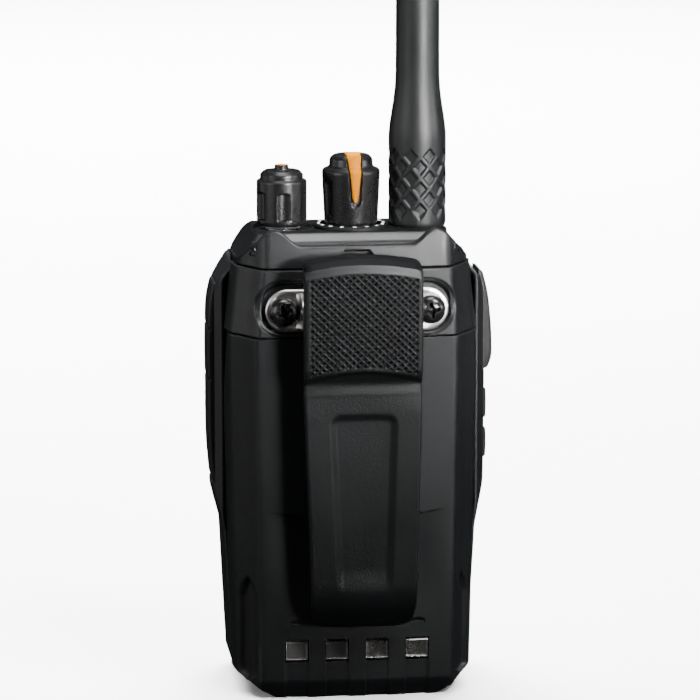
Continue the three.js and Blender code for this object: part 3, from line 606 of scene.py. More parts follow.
def deck_height(x, y):
    """The deck: sloping sides and front, a hood round the outer controls, a dial seat."""
    flat = DECK_Z - 0.72 * soft_max(BAND_Y - y, 0 * y, 0.25)
    flat = np.maximum(flat, DECK_Z - 1.6)
    around_volume, around_antenna, around_channel = (
        np.hypot(x - control[0], y - control[1]) for control in (VOLUME, ANTENNA, CHANNEL))
    for r in (around_volume, around_antenna):
        flat = soft_max(flat, soft_min(DECK_Z + 0.25, DECK_Z + 0.3 - (r - 6.9) * 1.3, 0.3), 0.3)
    flat = soft_min(flat, DECK_Z + 0.4 - (abs(x) - 19.4) * 1.15, 0.7)
    flat = soft_min(flat, DECK_Z - (y - 11.6) * 0.9, 0.8)
    for r in (around_volume, around_antenna):
        flat = flat + (SEAT_Z - flat) * smooth((6.35 - r) / 0.15)
    seat = smooth((8.2 - around_channel) / 0.15) * smooth((around_channel - 6.1) / 0.15)
    return flat - 0.8 * seat


def top_height(x, y, from_rear):
    """The whole top: the rear wall, the groove in front of it, the deck, a rounded edge."""
    wall, groove, deck = wall_height(x), VALLEY_Z - 1.2, deck_height(x, y)
    behind_wall = smooth((y - WALL_INNER_Y) / 0.12)
    on_deck = smooth((y - WALL_INNER_Y - GROOVE_WIDTH) / 0.12)
    z = wall * (1 - behind_wall) + behind_wall * (groove * (1 - on_deck) + deck * on_deck)
    return z - fallen(from_rear, 0.4)


def leaning(points):
    """The rear wall leans in towards its top."""
    x, y, z = np.moveaxis(points, -1, 0)
    lean = 0.095 * (z - TOP_LOW[2]) * smooth((-8 - y) / 6)
    return stacked(x, crowned(x, y) + lean, z)


def strap_slot(points):
    """A dark slot through the middle of the rear wall, just above the clip."""
    x, y, z = np.moveaxis(points, -1, 0)
    low, high = STRAP_SLOT_Z
    half = STRAP_SLOT_HALF - 1.0 * np.clip((z - low) / 1.2, 0, 1)
    hole = smooth((half - abs(x - 0.15)) / 0.15) * smooth((high - z) / 0.12)
    hole = hole * smooth((-15 - y) / 0.5)
    return stacked(x, y + 2.4 * hole, z)


def top_cover():
    """The cover over the controls. Its deck has a band in a lighter, glossier copy of the case
    plastic, whose lighter colour is a painted sheen. The band lies between two matt parts: the rear
    wall in the case plastic, and the deck beside and in front of the band in a darker copy of it,
    which is painted shade.
    """
    marks_x = [side * x for side in (-1, 1) for x in (3.2, 11.4, 16.2)]
    rear = resample(rounded(mirrored(TOP_REAR)), 0.32, marks_x)[::-1]
    front = rounded(mirrored(TOP_FRONT))[::-1]
    columns = rear[:, 0]
    front_y = np.interp(columns, front[:, 0], front[:, 1])
    marks_v = [(y - BACK_Y - 0.8) / 32 for y in (-17.0, WALL_INNER_Y, WALL_INNER_Y + GROOVE_WIDTH, -7)]
    share = samples(0, 1, 0.012, marks_v, 0.003, 0.02)[:, None]
    x = columns[None, :] + 0 * share
    y = rear[None, :, 1] * (1 - share) + front_y[None, :] * share
    z = top_height(x, y, y - rear[None, :, 1])
    top = stacked(x, y, z)
    at_x, at_y = x[:-1, :-1], y[:-1, :-1]
    on_deck = at_y > WALL_INNER_Y + 0.3
    # The band gets the lighter deck plastic, a painted sheen; the rest of the deck gets the darker
    # matte plastic, painted shade
    painted_sheen_band = on_deck & (at_y < BAND_Y) & (abs(at_x) < 15.5)
    look = np.where(painted_sheen_band, 1, 2 * on_deck).reshape(-1)
    ring = np.concatenate([top[0], top[1:, -1], top[-1, -2::-1], top[-2:0:-1, 0]])
    down = samples(0, 1, 0.04, [0, 1], 0.01, 0.05)[:, None, None]
    base = ring.copy()
    base[:, 2] = TOP_LOW[2]
    walls = ring[None] * (1 - down) + base[None] * down
    inset = end_rounding(walls[..., 2], TOP_LOW[2], 1000, 0.2)
    walls[..., 1] += inset * np.sign(-walls[..., 1])
    walls[..., 0] -= inset * np.sign(walls[..., 0]) * 0.6
    surface = Surface().grid(leaning(top), region=look).grid(strap_slot(leaning(walls)), around=True)
    piece = thicken(surface.build("top_cover_moulding", 50), TOP_WALL)
    finish_piece(piece, "radio", "case_plastic", ["top_cover"], "case", "deck", "matte")


# ---- front housing

HOUSING_PLAN = [(27, SEAM_Y + GAP, 0), (29.3, 0, 2), (29.6, 4, 2), (28.2, 11, 4),
                (22.5, 16.8, 4), (12, 18, 5)]
HOUSING_HALF = [(0, 17.5), (4.8, 25.1), (34, 26.7), (43, 29.2), (62, 29.6), (80, 29.6),
                (86.5, 28.2), (91, 24.6)]     # half its width at each height
HOUSING_FRONT = [(0, 15.5), (6, 18), (78, 18), (91, 14.8)]
HOUSING_WALL = 0.8       # thin enough for the rib between the two side keys
PTT_LOW, PTT_HIGH = span("push_to_talk_button")
JACK_LOW, JACK_HIGH = span("jack_cover")
KEY_FLOOR = span("side_key_lower")[0][0] - 0.9
SIDE_PIECES = {"push_to_talk_button": PTT_LOW[0] - 1.3, "side_key_lower": KEY_FLOOR,
               "side_key_upper": KEY_FLOOR, "jack_cover": -27.9}     # and their pockets' floors
JACK_Y, JACK_Z = (0.4, 7.6), (52, 78)
GRILLE_Z, GRILLE_ROWS, GRILLE_PITCH, RIM_RADIUS = 40, 7, 4, 17.2
PANEL_X, PANEL_TOP = 15, (58, 74)         # the plain recessed label panel
MICROPHONE, LENS = (13, 14), (12, 83)


def housing_shape(x, y, z):
    limit = (follow(HOUSING_HALF, z) + follow(HOUSING_HALF, z + 0.8)) / 2
    x = np.sign(x) * soft_min(abs(x), limit, 0.6)
    return x, soft_min(y, follow(HOUSING_FRONT, z), 0.8), z


def boxed(a, b, a_low, a_high, b_low, b_high, edge=0.2):
    """1 inside a rectangle, 0 outside, with a narrow slope inwards from its border."""
    return (smooth((a - a_low) / edge) * smooth((a_high - a) / edge)
            * smooth((b - b_low) / edge) * smooth((b_high - b) / edge))


def housing_pockets(points):
    """Sinks the side pieces' pockets, the jacks, the grille, the panel and two holes."""
    x, y, z = np.moveaxis(points, -1, 0).copy()
    right, left, front = x > 20, x < -20, y > 12
    for node, floor in SIDE_PIECES.items():
        low, high = span(node)
        pocket = boxed(y, z, low[1] - .4, high[1] + .4, low[2] - .4, high[2] + .4)
        x = np.where(left if floor < 0 else right, x + (floor - x) * pocket, x)
    x = np.where(left, x + (-24.6 - x) * boxed(y, z, *JACK_Y, *JACK_Z), x)

    depth = 0.6 * boxed(x, z, -PANEL_X, PANEL_X, *PANEL_TOP, 0.4)
    for row in range(GRILLE_ROWS):
        from_middle = row - GRILLE_ROWS // 2
        end = np.maximum(abs(x) - 11 + abs(from_middle) * 1.6 + 0.8, 0)
        slot = np.hypot(end, z - GRILLE_Z - from_middle * GRILLE_PITCH)
        depth = np.maximum(depth, 2.6 * smooth((0.85 - slot) / 0.25))
    rim = abs(np.hypot(x, z - GRILLE_Z) - RIM_RADIUS)
    depth = np.maximum(depth, 0.45 * smooth((0.5 - rim) / 0.3))
    for (hole_x, hole_z), radius in ((MICROPHONE, 0.7), (LENS, 1.6)):
        hole = smooth((radius - np.hypot(x - hole_x, z - hole_z)) / 0.2)
        depth = np.maximum(depth, 2.5 * hole)
    return stacked(x, np.where(front, y - depth, y), z)


def front_housing():
    marks_x = [side * x for side in (-1, 1) for x in (15, 11, 9.4, 7.8)]
    recessed = [span(node) for node in SIDE_PIECES]
    marks_y = {round(float(y), 2) for low, high in recessed for y in (low[1] - .3, high[1] + .3)}
    corners = rounded(mirrored(HOUSING_PLAN))
    path = resample(corners, 0.62, marks_x, sorted(marks_y), fine=0.18, reach=0.36)
    lowest = GRILLE_Z - GRILLE_ROWS // 2 * GRILLE_PITCH
    slots = [lowest + row * GRILLE_PITCH + side for row in range(GRILLE_ROWS) for side in (-.75, .75)]
    pockets = [z for low, high in recessed for z in (low[2] - .3, high[2] + .3)]
    marks_z = slots + pockets + [*PANEL_TOP, 86.5, 0.2, 43]
    heights = samples(0, HOUSING_TOP, 0.7, marks_z, 0.18, 0.36)
    points = loft(path, heights, housing_shape)
    points = sunk(points, lambda p, _: end_rounding(p[..., 2], -1, HOUSING_TOP, 0.5), IN_FRONT)
    points = housing_pockets(points)
    surface = walled(points, (0,), SEAM_Y + GAP, 8)
    piece = thicken(surface.build("front_housing_moulding"), HOUSING_WALL)
    finish_piece(piece, "radio", "case_plastic", ["front_housing"], "case")


# ---- side keys

def side_pad(name, node, side, profile, edge, relief):
    """A key on the side of the housing. profile gives its outer x for each height."""
    low, high = span(node)
    across = samples(low[1], high[1], 0.35, [low[1] + edge / 2, high[1] - edge / 2], 0.12)
    up = samples(low[2], high[2], 0.3, [low[2] + edge / 2, high[2] - edge / 2], 0.12)
    y, z = np.meshgrid(across, up)
    border = np.minimum(np.minimum(y - low[1], high[1] - y),
                        np.minimum(z - low[2], high[2] - z))
    out = curve(profile, z) - fallen(border, edge) - relief(y, z)
    base = low[0] if side > 0 else -high[0]
    front, back = (stacked(side * x, y, z) for x in (out, base + 0 * y))
    return Surface().slab(front, back).build(name)


def push_to_talk():
    low, high = PTT_LOW, PTT_HIGH
    profile = [(low[2], 29.9), (low[2] + 2.6, 30.7), (low[2] + 5.2, 30.75), (78, 30.4),
               (83, 29.8), (high[2], 28.6)]

    def ribs(y, z):
        grooves = sum(0.35 * smooth((0.45 - abs(z - c)) / 0.3) for c in (74.5, 76.5, 78.5, 80.5))
        return grooves * smooth((3.2 - abs(y - 4)) / 0.3)

    piece = side_pad("push_to_talk_pad", "push_to_talk_button", 1, profile, 0.9, ribs)
    finish_piece(piece, "push_to_talk", "key_rubber", ["push_to_talk_button"], "key")


def side_key(node):
    low, high = span(node)
    centre = middle(node)
    profile = [(low[2], 29.6), (centre[2], 29.7), (high[2], 29.6)]

    def dimple(y, z):
        r = np.hypot(y - centre[1], z - centre[2])
        return 0.25 * smooth((1.6 - r) / 1.2)

    piece = side_pad(f"{node}_pad", node, 1, profile, 0.5, dimple)
    finish_piece(piece, node, "key_rubber", [node], "key")


def jack_cover():
    profile = [(JACK_LOW[2], 28.9), (50, 29.45), (64, 29.66), (76, 29.66), (83, 29.2),
               (JACK_HIGH[2], 28.5)]

    def steps(y, z):
        groove = sum(0.5 * smooth((0.3 - abs(z - c)) / 0.2) for c in (65.6, 76.4))
        thumb = 0.35 * smooth((abs(z - 47.3) - 0.35) / -0.2) * smooth((3.4 - abs(y - 4)) / 0.3)
        frame_line = abs(np.maximum(abs(y - 3.8) - 3.6, abs(z - 70.9) - 12.6))
        return groove + thumb + 0.25 * smooth((0.3 - frame_line) / 0.2)

    piece = side_pad("jack_cover_flap", "jack_cover", -1, profile, 0.6, steps)
    finish_piece(piece, "jack_cover", "key_rubber", ["jack_cover"], "key")


# ---- belt clip

PAD_Z = (72.4, 92.0)      # knurled pad, bottom and top borders at mid width
PAD_ARCH, PAD_SAG = 1.5, 2.2        # how far those borders drop towards the clip's sides
CLIP_CENTRE = 0.2
CLIP_LEAN = 0.009         # sideways travel for each millimetre downwards
CLIP_HALF = 12.15
KNURL_PITCH = 1.53
PANEL_Z = (24.1, 62.8)
PAINTED_HIGHLIGHT_BAND = (0.25, 1.75)  # the edge between the knurl and the lip, in the lighter, glossier case plastic; its lighter colour is a painted highlight
CHEEK = (9.42, 10.4)      # the inner and outer sides of the cheeks that hold the pin


def clip_half_width(z):
    return follow([(16, 10.1), (22, 10.9), (66, CLIP_HALF)], z)


def clip_lengthwise():
    """Matching rows of outer and inner (y, z) points from the clip's top to its tip."""
    outer = rounded([(-24.6, 95.3), (-27.0, 95.0, 0.8), (-28.8, 93.5, 0.5), (-29.25, 92.0, 0.6),
                     (-29.3, 82, 4), (-29.1, 71.6, 1.0), (-27.3, 67.6, 1.6), (-27.6, 45, 8),
                     (-26.8, 23, 4), (-22.2, 16.3, 1.2), (-21, 16.5)])
    inner = rounded([(-24.4, 94.7), (-25.6, 93.0, 1), (-26.6, 91.0, 1.5), (-26.4, 71.6, 1.5),
                     (-24.7, 66.9, 1.6), (-25, 45, 8), (-24.2, 24.4, 4), (-20.75, 17.3, 0.8),
                     (-20.8, 16.9)])
    outer_along, inner_along = lengths_along(outer), lengths_along(inner)
    at = samples(0, outer_along[-1], 0.36, [3.4, 26.5, 33, 70.5], 0.15, 0.8)
    knurl_start, knurl_end = 4.2, 27.5
    dense = np.arange(knurl_start, knurl_end, 0.1)
    at = np.unique(np.concatenate([at[(at < knurl_start) | (at > knurl_end)], dense]))
    share = at / outer_along[-1]
    outer_rows = stacked(*(np.interp(at, outer_along, outer[:, i]) for i in (0, 1)))
    inner_z = np.interp(share * inner_along[-1], inner_along, inner[:, 1])
    inner_y = np.interp(share * inner_along[-1], inner_along, inner[:, 0])
    return outer_rows, stacked(inner_y, inner_z)


def arch_drop(across):
    """How far the clip's top edge drops away from its middle; across is -1 to 1."""
    corner = np.clip((abs(across) - 0.87) / 0.13, 0, 1)
    return 1.35 * across**2 + 1.1 * (1 - np.sqrt(1 - 0.98 * corner**2))


def clip_knurl(x, z, half):
    """Thin crossed ribs between arched borders, and the smooth rims beside them."""
    top = PAD_Z[1] - PAD_ARCH * (x / half)**2
    low = PAD_Z[0] - PAD_SAG * (x / half)**2
    field = math.prod(smooth(gap / 0.25) for gap in (top - z, z - low, half - 0.95 - abs(x)))
    pocket = 1.0
    for direction in (-1, 1):
        phase = (x + direction * z * 1.04) / KNURL_PITCH
        ridge = abs(phase - np.round(phase)) * KNURL_PITCH * 0.7
        flank = 0.55 * np.minimum(ridge, 0.26) + 0.42 * smooth((ridge - 0.24) / 0.16)
        pocket = np.minimum(pocket, flank)
    return field * pocket


def clip_face(x, y, z, half):
    """Pushes the outer face in for the knurl, the dark step and the long panel."""
    depth = clip_knurl(x, z, half)
    crown = 0.55 * (x / half)**2 * smooth((z - 62) / 8)
    below_pad = PAD_Z[0] - 0.5 - PAD_SAG * (x / half)**2 - z
    crown = crown + 0.9 * smooth(below_pad / 1.0) * smooth((z - 66.5) / 3)
    length = PANEL_Z[1] - PANEL_Z[0]
    panel_half = 5.95 + 1.4 * np.clip((z - PANEL_Z[0]) / length, 0, 1)
    corner = 2.6
    beyond = np.hypot(np.maximum(abs(x) - panel_half + corner, 0),
                      np.maximum(abs(z - sum(PANEL_Z) / 2) - length / 2 + corner, 0))
    depth = depth + 0.62 * smooth((corner - beyond) / 1.8) * smooth((z - PANEL_Z[0]) / 6)
    return y + crown + depth + fallen(half - abs(x), 0.55)


def clip_underside(x, y, z, half):
    """The back of the clip: side rims, and two cheeks that carry the hinge pin."""
    rim = smooth((abs(x) - half + 1.15) / 0.12) * inside(z, 68.4, 90.8, 0.8)
    y = y + (np.maximum(y, -25.4) - y) * rim
    reach = -24.4 + 4.0 * np.sqrt(np.clip(1 - ((z - PIVOT[2]) / 4.9)**2, 0, 1))
    cheek = inside(abs(x), *CHEEK, 0.12) * smooth((4.9 - abs(z - PIVOT[2])) / 0.1)
    return y + (np.maximum(y, reach) - y) * cheek


def belt_clip():
    """The clip. Its top lip is in a darker, duller copy of the clip plastic, which is painted shade.
    The arched edge above the knurl is in the lighter, glossier case plastic, whose lighter colour is a
    painted highlight.
    """
    outer, inner = clip_lengthwise()
    fine = np.linspace(-1, 1, 251)[None, :]
    marks = [side * x / 12.4 for side in (-1, 1) for x in (9.4, 10.4, 11.3)]
    coarse = samples(-1, 1, 0.07, marks, 0.008, 0.024)[::-1][None, :]

    def sheet(rows, across, face):
        y, z = rows[:, :1] + 0 * across, rows[:, 1:] + 0 * across
        half = clip_half_width(z)
        lift = smooth((z - 84) / 9.5)
        z = z - arch_drop(across + 0 * z) * lift
        x = across * half
        tuck = 0.9 * (abs(across)**6) * smooth((19 - z) / 3)
        z = z + tuck
        lean = CLIP_LEAN * np.maximum(66 - z, 0)
        return stacked(x + CLIP_CENTRE + lean, face(x, y, z, half), z)

    ring = np.concatenate([sheet(outer, fine, clip_face), sheet(inner, coarse, clip_underside)],
                          axis=1)
    x, z = ring[:-1, :, 0] - CLIP_CENTRE, ring[:-1, :, 2]
    above_pad = z - PAD_Z[1] + PAD_ARCH * (x / CLIP_HALF)**2
    # Above the band the lip plastic paints shade; the band itself gets the lighter case plastic as a
    # painted highlight
    look = np.where(above_pad > PAINTED_HIGHLIGHT_BAND[1], 1, 2 * (above_pad >= PAINTED_HIGHLIGHT_BAND[0]))
    surface = Surface().grid(ring, around=True, region=look.reshape(-1))
    for row in (ring[0], ring[-1]):
        close_slot(surface, row, fine.shape[1])
    piece = surface.build("belt_clip_moulding", 60)
    finish_piece(piece, "belt_clip", "clip_plastic", ["belt_clip"], "clip", "lip", "case")


def close_slot(surface, row, outer_count):
    """Closes the narrow end of a flat ring: its outer run is joined to its inner run."""
    outer, inner = row[:outer_count], row[outer_count:][::-1]
    shares = np.linspace(0, 1, outer_count)
    inner_shares = np.linspace(0, 1, len(inner))
    matched = stacked(*(np.interp(shares, inner_shares, inner[:, i]) for i in range(3)))
    surface.grid(np.stack([outer, (outer + matched) / 2, matched]))


# ---- clip plate and screws

def clip_bracket():
    """The obround plate under the clip screws and the two ears that hold the pin."""
    low, high = span("clip_bracket")
    plate_back = high[1]
    face = plate_back - 1.0
    radius = 4.5
    half = high[0] - radius
    turn = np.linspace(-math.pi / 2, math.pi / 2, 25)
    end = stacked(half + radius * np.cos(turn), PIVOT[2] + radius * np.sin(turn))
    side_x = samples(-half, half, 0.8)[1:-1]
    upper, lower = (stacked(side_x, 0 * side_x + PIVOT[2] + r) for r in (radius, -radius))
    outline = np.concatenate([end, upper[::-1], end[::-1] * [-1, 1], lower])
    spine = stacked(np.clip(outline[:, 0], -half, half), PIVOT[2] + 0 * outline[:, 0])
    inwards = (spine - outline) / radius
    rings = []
    dish = face + 0.07
    for inset, y in ((0.3, plate_back), (0, plate_back - 0.25), (0, face + 0.28), (0.1, face + 0.1),
                     (0.3, face), (0.9, face), (1.0, dish), (1.6, dish), (3.2, dish),
                     (radius - 0.05, dish)):
        flat = outline + inwards * inset
        rings.append(stacked(flat[:, 0], 0 * flat[:, 0] + y, flat[:, 1]))
    surface = Surface().grid(np.stack(rings), around=True)
    surface.grid(np.stack([rings[0], rings[0] * [1, 0, 0] + [0, plate_back, PIVOT[2]]]), around=True)
    for side in (-1, 1):
        clip_ear(surface, side, face, low[1])
    piece = surface.build("clip_bracket_plate", 35)
    finish_piece(piece, "radio", "nickel_plate", ["clip_bracket"], "nickel")


def clip_ear(surface, side, root_y, tip_y):
    """One ear: a strip that folds out of the plate and ends round the hinge pin."""
    inner_x, outer_x = 10.9, 11.9
    root_y = root_y + 0.3
    distance = samples(0, root_y - tip_y, 0.35, [0.6], 0.12)
    fold = 0.9 * smooth((1.0 - distance) / 1.0)
    tip = 3.1
    half = 3.5 - 0.5 * distance / distance[-1]
    round_end = np.clip((distance - distance[-1] + tip) / tip, 0, 1)
    half = half * np.sqrt(np.maximum(1 - round_end**2 * 0.985, 0))
    across = np.linspace(-1, 1, 15)[None, :]
    z = PIVOT[2] + across * half[:, None]
    y = (root_y - distance)[:, None] + 0 * across
    outer, inner = (stacked(side * (x + 0 * across), y, z)
                    for x in (outer_x + fold[:, None], inner_x + 0 * fold[:, None]))
    surface.slab(outer, inner)


def clip_screw(node):
    """A black domed pan-head screw with a cross recess, pointing out of the back."""
    centre, crest, radius = middle(node), span(node)[0][1], half_width(node)
    head_y = BACK_Y
    shank, under_head = 1.4, head_y - 0.02
    profile = rounded([(0.02, crest), (1.3, crest + 0.08, 0.8), (2.45, crest + 0.62, 1.0),
                       (radius, head_y - 0.75, 0.5), (radius, under_head, 0.2), (shank, under_head),
                       (shank, head_y + 6), (0.02, head_y + 8)])
    profile = resample(profile, 0.14)
    turn = np.linspace(0, 2 * math.pi, 120, endpoint=False)[None, :]
    across = profile[:, :1] * np.cos(turn)
    up = profile[:, :1] * np.sin(turn)
    y = profile[:, 1:] + 0 * turn
    tilt = math.radians(20 if centre[0] < 0 else 8)
    a = across * math.cos(tilt) + up * math.sin(tilt)
    b = up * math.cos(tilt) - across * math.sin(tilt)
    reach = np.maximum(abs(a), abs(b))
    arm = smooth((0.42 - np.minimum(abs(a), abs(b))) / 0.14) * smooth((1.75 - reach) / 0.2)
    well = smooth((0.95 - np.hypot(a, b)) / 0.3)
    depth = 1.7 * np.maximum(arm, well) * np.clip(1.15 - reach / 2.6, 0, 1)
    on_head = y < head_y - 0.9
    y = y + np.where(on_head, depth, 0)
    points = stacked(centre[0] + across, y, centre[2] + up)
    piece = Surface().grid(points, around=True).build(f"{node}_pan_head", 45)
    finish_piece(piece, "radio", "dark_steel", [node], "steel")


# ---- knobs

FACING = -math.pi / 2     # the direction that faces the photo's camera
SCOOPS = 6
POINTER_LENGTH = 9.7
POINTER_TURN = math.radians(4)
POINTER_RIM = 3.2         # how far the knob's rim lies below its top
CHANNELS = 16


def scooped(radius, turn, scoop_angles, distance, size, strength):
    """Cuts upright scoops into a round wall, each shaped by a cylinder beside it."""
    result = radius
    for angle in scoop_angles:
        off = apart(turn, angle)
        inner = size**2 - (distance * np.sin(off))**2
        hit = distance * np.cos(off) - np.sqrt(np.maximum(inner, 0))
        hit = np.where((inner > 0) & (abs(off) < 1), hit, radius)
        result = np.minimum(result, radius + (hit - radius) * strength)
    return result


def volume_knob():
    (_, _, base), (_, _, top) = span("volume_knob")
    radius = half_width("volume_knob")
    angles = [FACING + i * 2 * math.pi / SCOOPS for i in range(SCOOPS)]
    rim = top - 1.35
    profile = rounded([(1.9, base + 0.3), (4.6, base), (5.1, base, 0.3), (radius, base + 0.6, 0.3),
                       (radius, rim - 0.1, 0.4), (4.72, rim + 0.1, 0.15), (4.55, rim + 0.25, 0.1),
                       (4.55, rim + 1.15, 0.2), (3.8, top + 0.6, 0.25), (3.4, top + 0.66, 0.2),
                       (1.75, top + 0.6, 0.1), (1.45, top + 0.75, 0.1), (1.45, top + 1.75, 0.12),
                       (1.2, top + 1.78, 0.05), (1.18, top + 1.0), (1.12, top - 2.0),
                       (0.02, top - 2.05)])
    profile = resample(profile, 0.14)

    def shape(r, turn, z):
        off = abs(apart(SCOOPS * turn, SCOOPS * FACING)) / SCOOPS
        arch = base + 7.1 - 0.9 * (off * radius / 1.7)**4
        strength = smooth((z - base - 1.2) / 0.2) * smooth((arch - z) / 0.25)
        cut = scooped(r, turn, angles, 6.9, 2.3, strength)
        return np.where(r > 4.8, cut, r), z

    piece = spun("volume_knob_cap", profile, VOLUME, 240, 40, shape)
    finish_piece(piece, "volume_knob", "knob_plastic", ["volume_knob"], "knob")


def volume_pin():
    """The orange pin in the middle of the volume knob."""
    low, top = span("volume_pin")[0][2], span("volume_knob")[1][2] + 1.86
    radius = 1.14
    profile = resample(rounded([(0.02, low), (radius, low), (radius, top - 0.1, 0.1),
                                (radius - 0.15, top, 0.1), (0.02, top)]), 0.12)
    piece = spun("volume_knob_pin", profile, VOLUME, 48, 40)
    finish_piece(piece, "volume_knob", "accent_orange", ["volume_pin"], "accent")


def pointer_half_width(z, top):
    """Half the width of the pointer at each height: it narrows downwards."""
    share = np.clip((z - (top - POINTER_LENGTH)) / POINTER_LENGTH, 0, 1)
    return (0.5 + 0.95 * share) * np.sqrt(np.clip(0.25 + 9 * share, 0, 1))


def pointer_slot(z, top, beside):
    """1 inside the U-shaped slot that the pointer lies in."""
    low = top - POINTER_LENGTH - 1.0
    share = np.clip((z - low) / (top - low), 0, 1)
    half = 1.25 + 0.45 * share
    end = np.maximum(low + half - z, 0)
    return smooth((half - np.hypot(end, beside)) / 0.2)


def channel_knob():
    (_, _, base), (_, _, top) = span("channel_knob")
    rim = base + 11.6
    angles = [math.radians(a) for a in (-30, 30, 90, 150, 210)]
    profile = rounded([(1.9, base + 0.2), (4.7, base), (5.4, base, 0.3), (5.62, base + 0.5, 0.3),
                       (6.12, rim - 0.5, 0.4), (5.85, rim, 0.3), (4.9, rim + 0.35, 0.4),
                       (4.62, rim + 0.7, 0.3), (4.5, top - 0.9, 0.5), (3.6, top - 0.12, 0.6),
                       (0.02, top)])
    profile = resample(profile, 0.16)

    def shape(r, turn, z):
        strength = smooth((z - base - 1.9) / 0.3) * smooth((rim - 1.7 - z) / 1.4)
        cut = scooped(r, turn, angles, 7.7, 2.35, strength)
        r = np.where(r > 4.5, cut, r)
        off = abs(apart(turn, FACING + POINTER_TURN))
        beside = r * np.sin(np.minimum(off, math.pi / 2))
        slot = pointer_slot(z, top, beside) * (off < math.pi / 2)
        return r - 0.95 * slot * (r > 3.9), z - 0.8 * slot * (r <= 4.6) * (z > top - 1.2)

    piece = spun("channel_knob_cap", profile, CHANNEL, 288, 40, shape)
    finish_piece(piece, "channel_knob", "knob_plastic", ["channel_knob"], "knob")


def channel_pointer():
    """The orange pointer: a wedge that climbs the side of the knob and bends over it."""
    top = span("channel_knob")[1][2]
    rim = top - POINTER_RIM
    skin = rounded([(5.45, top - POINTER_LENGTH), (5.85, rim - 0.7, 0.6), (5.6, rim, 0.5),
                    (4.75, rim + 0.6, 0.5), (4.55, rim + 1.2, 0.5), (4.35, top - 0.7, 0.8),
                    (3.4, top + 0.28, 0.8), (0.4, top + 0.32)])
    skin = resample(skin, 0.22)
    share = np.linspace(-1, 1, 15)[None, :]
    half = pointer_half_width(skin[:, 1], top)[:, None]
    across = share * half
    crown = 0.14 * (1 - share**4)
    depth = 0.8
    outward = np.gradient(skin, axis=0)
    outward = stacked(outward[:, 1], -outward[:, 0])
    outward /= np.linalg.norm(outward, axis=1, keepdims=True)

    def layer(offset):
        reach = skin[:, :1] + outward[:, :1] * offset
        height = skin[:, 1:] + outward[:, 1:] * offset
        y = -np.sqrt(np.maximum(reach**2 - across**2 * (reach > 3.4), 0.04))
        c, s = math.cos(POINTER_TURN), math.sin(POINTER_TURN)
        x, y = across * c - y * s, across * s + y * c
        return stacked(CHANNEL[0] + x, CHANNEL[1] + y, height + 0 * across)

    surface = Surface().slab(layer(crown - 0.1), layer(-depth + 0 * across))
    piece = surface.build("channel_pointer_inlay")
    finish_piece(piece, "channel_knob", "accent_orange", ["channel_pointer"], "accent")


def dial_ring():
    """The fixed ring under the channel knob, with one raised tick for each channel."""
    (_, _, base), (_, _, top) = span("dial_ring")
    top += 0.55
    outer = half_width("dial_ring")
    inner = outer - 1.4
    profile = rounded([(inner, base), (outer, base), (outer, top - 0.25, 0.2),
                       (outer - 0.45, top, 0.3), (inner, top), (inner, base)])
    ring = spun("dial_ring_base", resample(profile, 0.16), CHANNEL, 128, 35)
    # The ring gets the darker matte copy of the case plastic: painted shade
    finish_piece(ring, "radio", "case_plastic", ["dial_ring"], "matte")
    marks = Surface()
    for i in range(CHANNELS):
        turn = FACING + i * 2 * math.pi / CHANNELS
        radial = np.array([math.cos(turn), math.sin(turn), 0])
        tangent = np.array([-math.sin(turn), math.cos(turn), 0])
        centre = np.array([CHANNEL[0], CHANNEL[1], top]) + radial * (outer - 1.05)
        corners = np.array([centre + radial * a * 0.24 + tangent * b * 0.36
                            for a, b in ((-1, -1), (1, -1), (1, 1), (-1, 1))])
        rings = [corners - [0, 0, 0.05], corners + [0, 0, 0.05]]
        rings.append(centre + (rings[1] - centre) * [0.8, 0.8, 1.4])
        marks.grid(np.stack(rings), around=True)
        for ring in (rings[0], rings[2]):
            marks.grid(np.stack([ring[:2], ring[:1:-1]]))
    ticks = marks.build("dial_ring_ticks", 30)
    finish_piece(ticks, "radio", "case_plastic", [], "marks")


# ---- antenna

def antenna_sheath():
    """The antenna: a wide foot with three rows of diamonds, a waist and a long rod."""
    (_, _, base), (_, _, top) = span("antenna_sheath")
    radius = half_width("antenna_sheath")
    waist = base + 20.1
    profile = rounded([(5.0, base), (5.8, base, 0.2), (radius, base + 0.6, 0.3),
                       (radius, waist - 0.4, 1.5), (5.6, waist + 3, 3), (4.95, waist + 7, 3),
                       (4.6, waist + 11, 3), (4.25, top - 3.2, 4), (3.5, top - 0.8, 1.2),
                       (1.8, top, 0.8), (0.02, top)])
    along = lengths_along(profile)
    start, stop = 4.2, 18.6
    at = np.unique(np.concatenate([samples(0, start, 0.4), samples(start, stop, 0.17),
                                   samples(stop, 34, 0.5), samples(34, along[-1], 2.0)]))
    rows = stacked(*(np.interp(at, along, profile[:, i]) for i in (0, 1)))
    columns, row_step = 9, 2.28
    first = 101.1

    def diamonds(r, turn, z):
        row = (z - first) / row_step
        best = 0
        for shift in (0, 1):
            k = np.clip(np.round((row - shift) / 2) * 2 + shift, shift, 4 + shift)
            column = turn / (2 * math.pi) * columns + 0.5 * shift + 0.28
            sideways = abs(column - np.round(column)) * 2 * math.pi * radius / columns
            updown = abs(z - first - k * row_step)
            best = np.maximum(best, smooth((1 - sideways / 1.62 - updown / 1.8) / 0.18))
        return r - 0.42 * best * (r > radius - 0.5), z

    piece = spun("antenna_sheath_skin", rows, ANTENNA, 216, 50, diamonds)
    finish_piece(piece, "antenna", "antenna_rubber", ["antenna_sheath"], "rubber")


# ---- kept CAD and stage

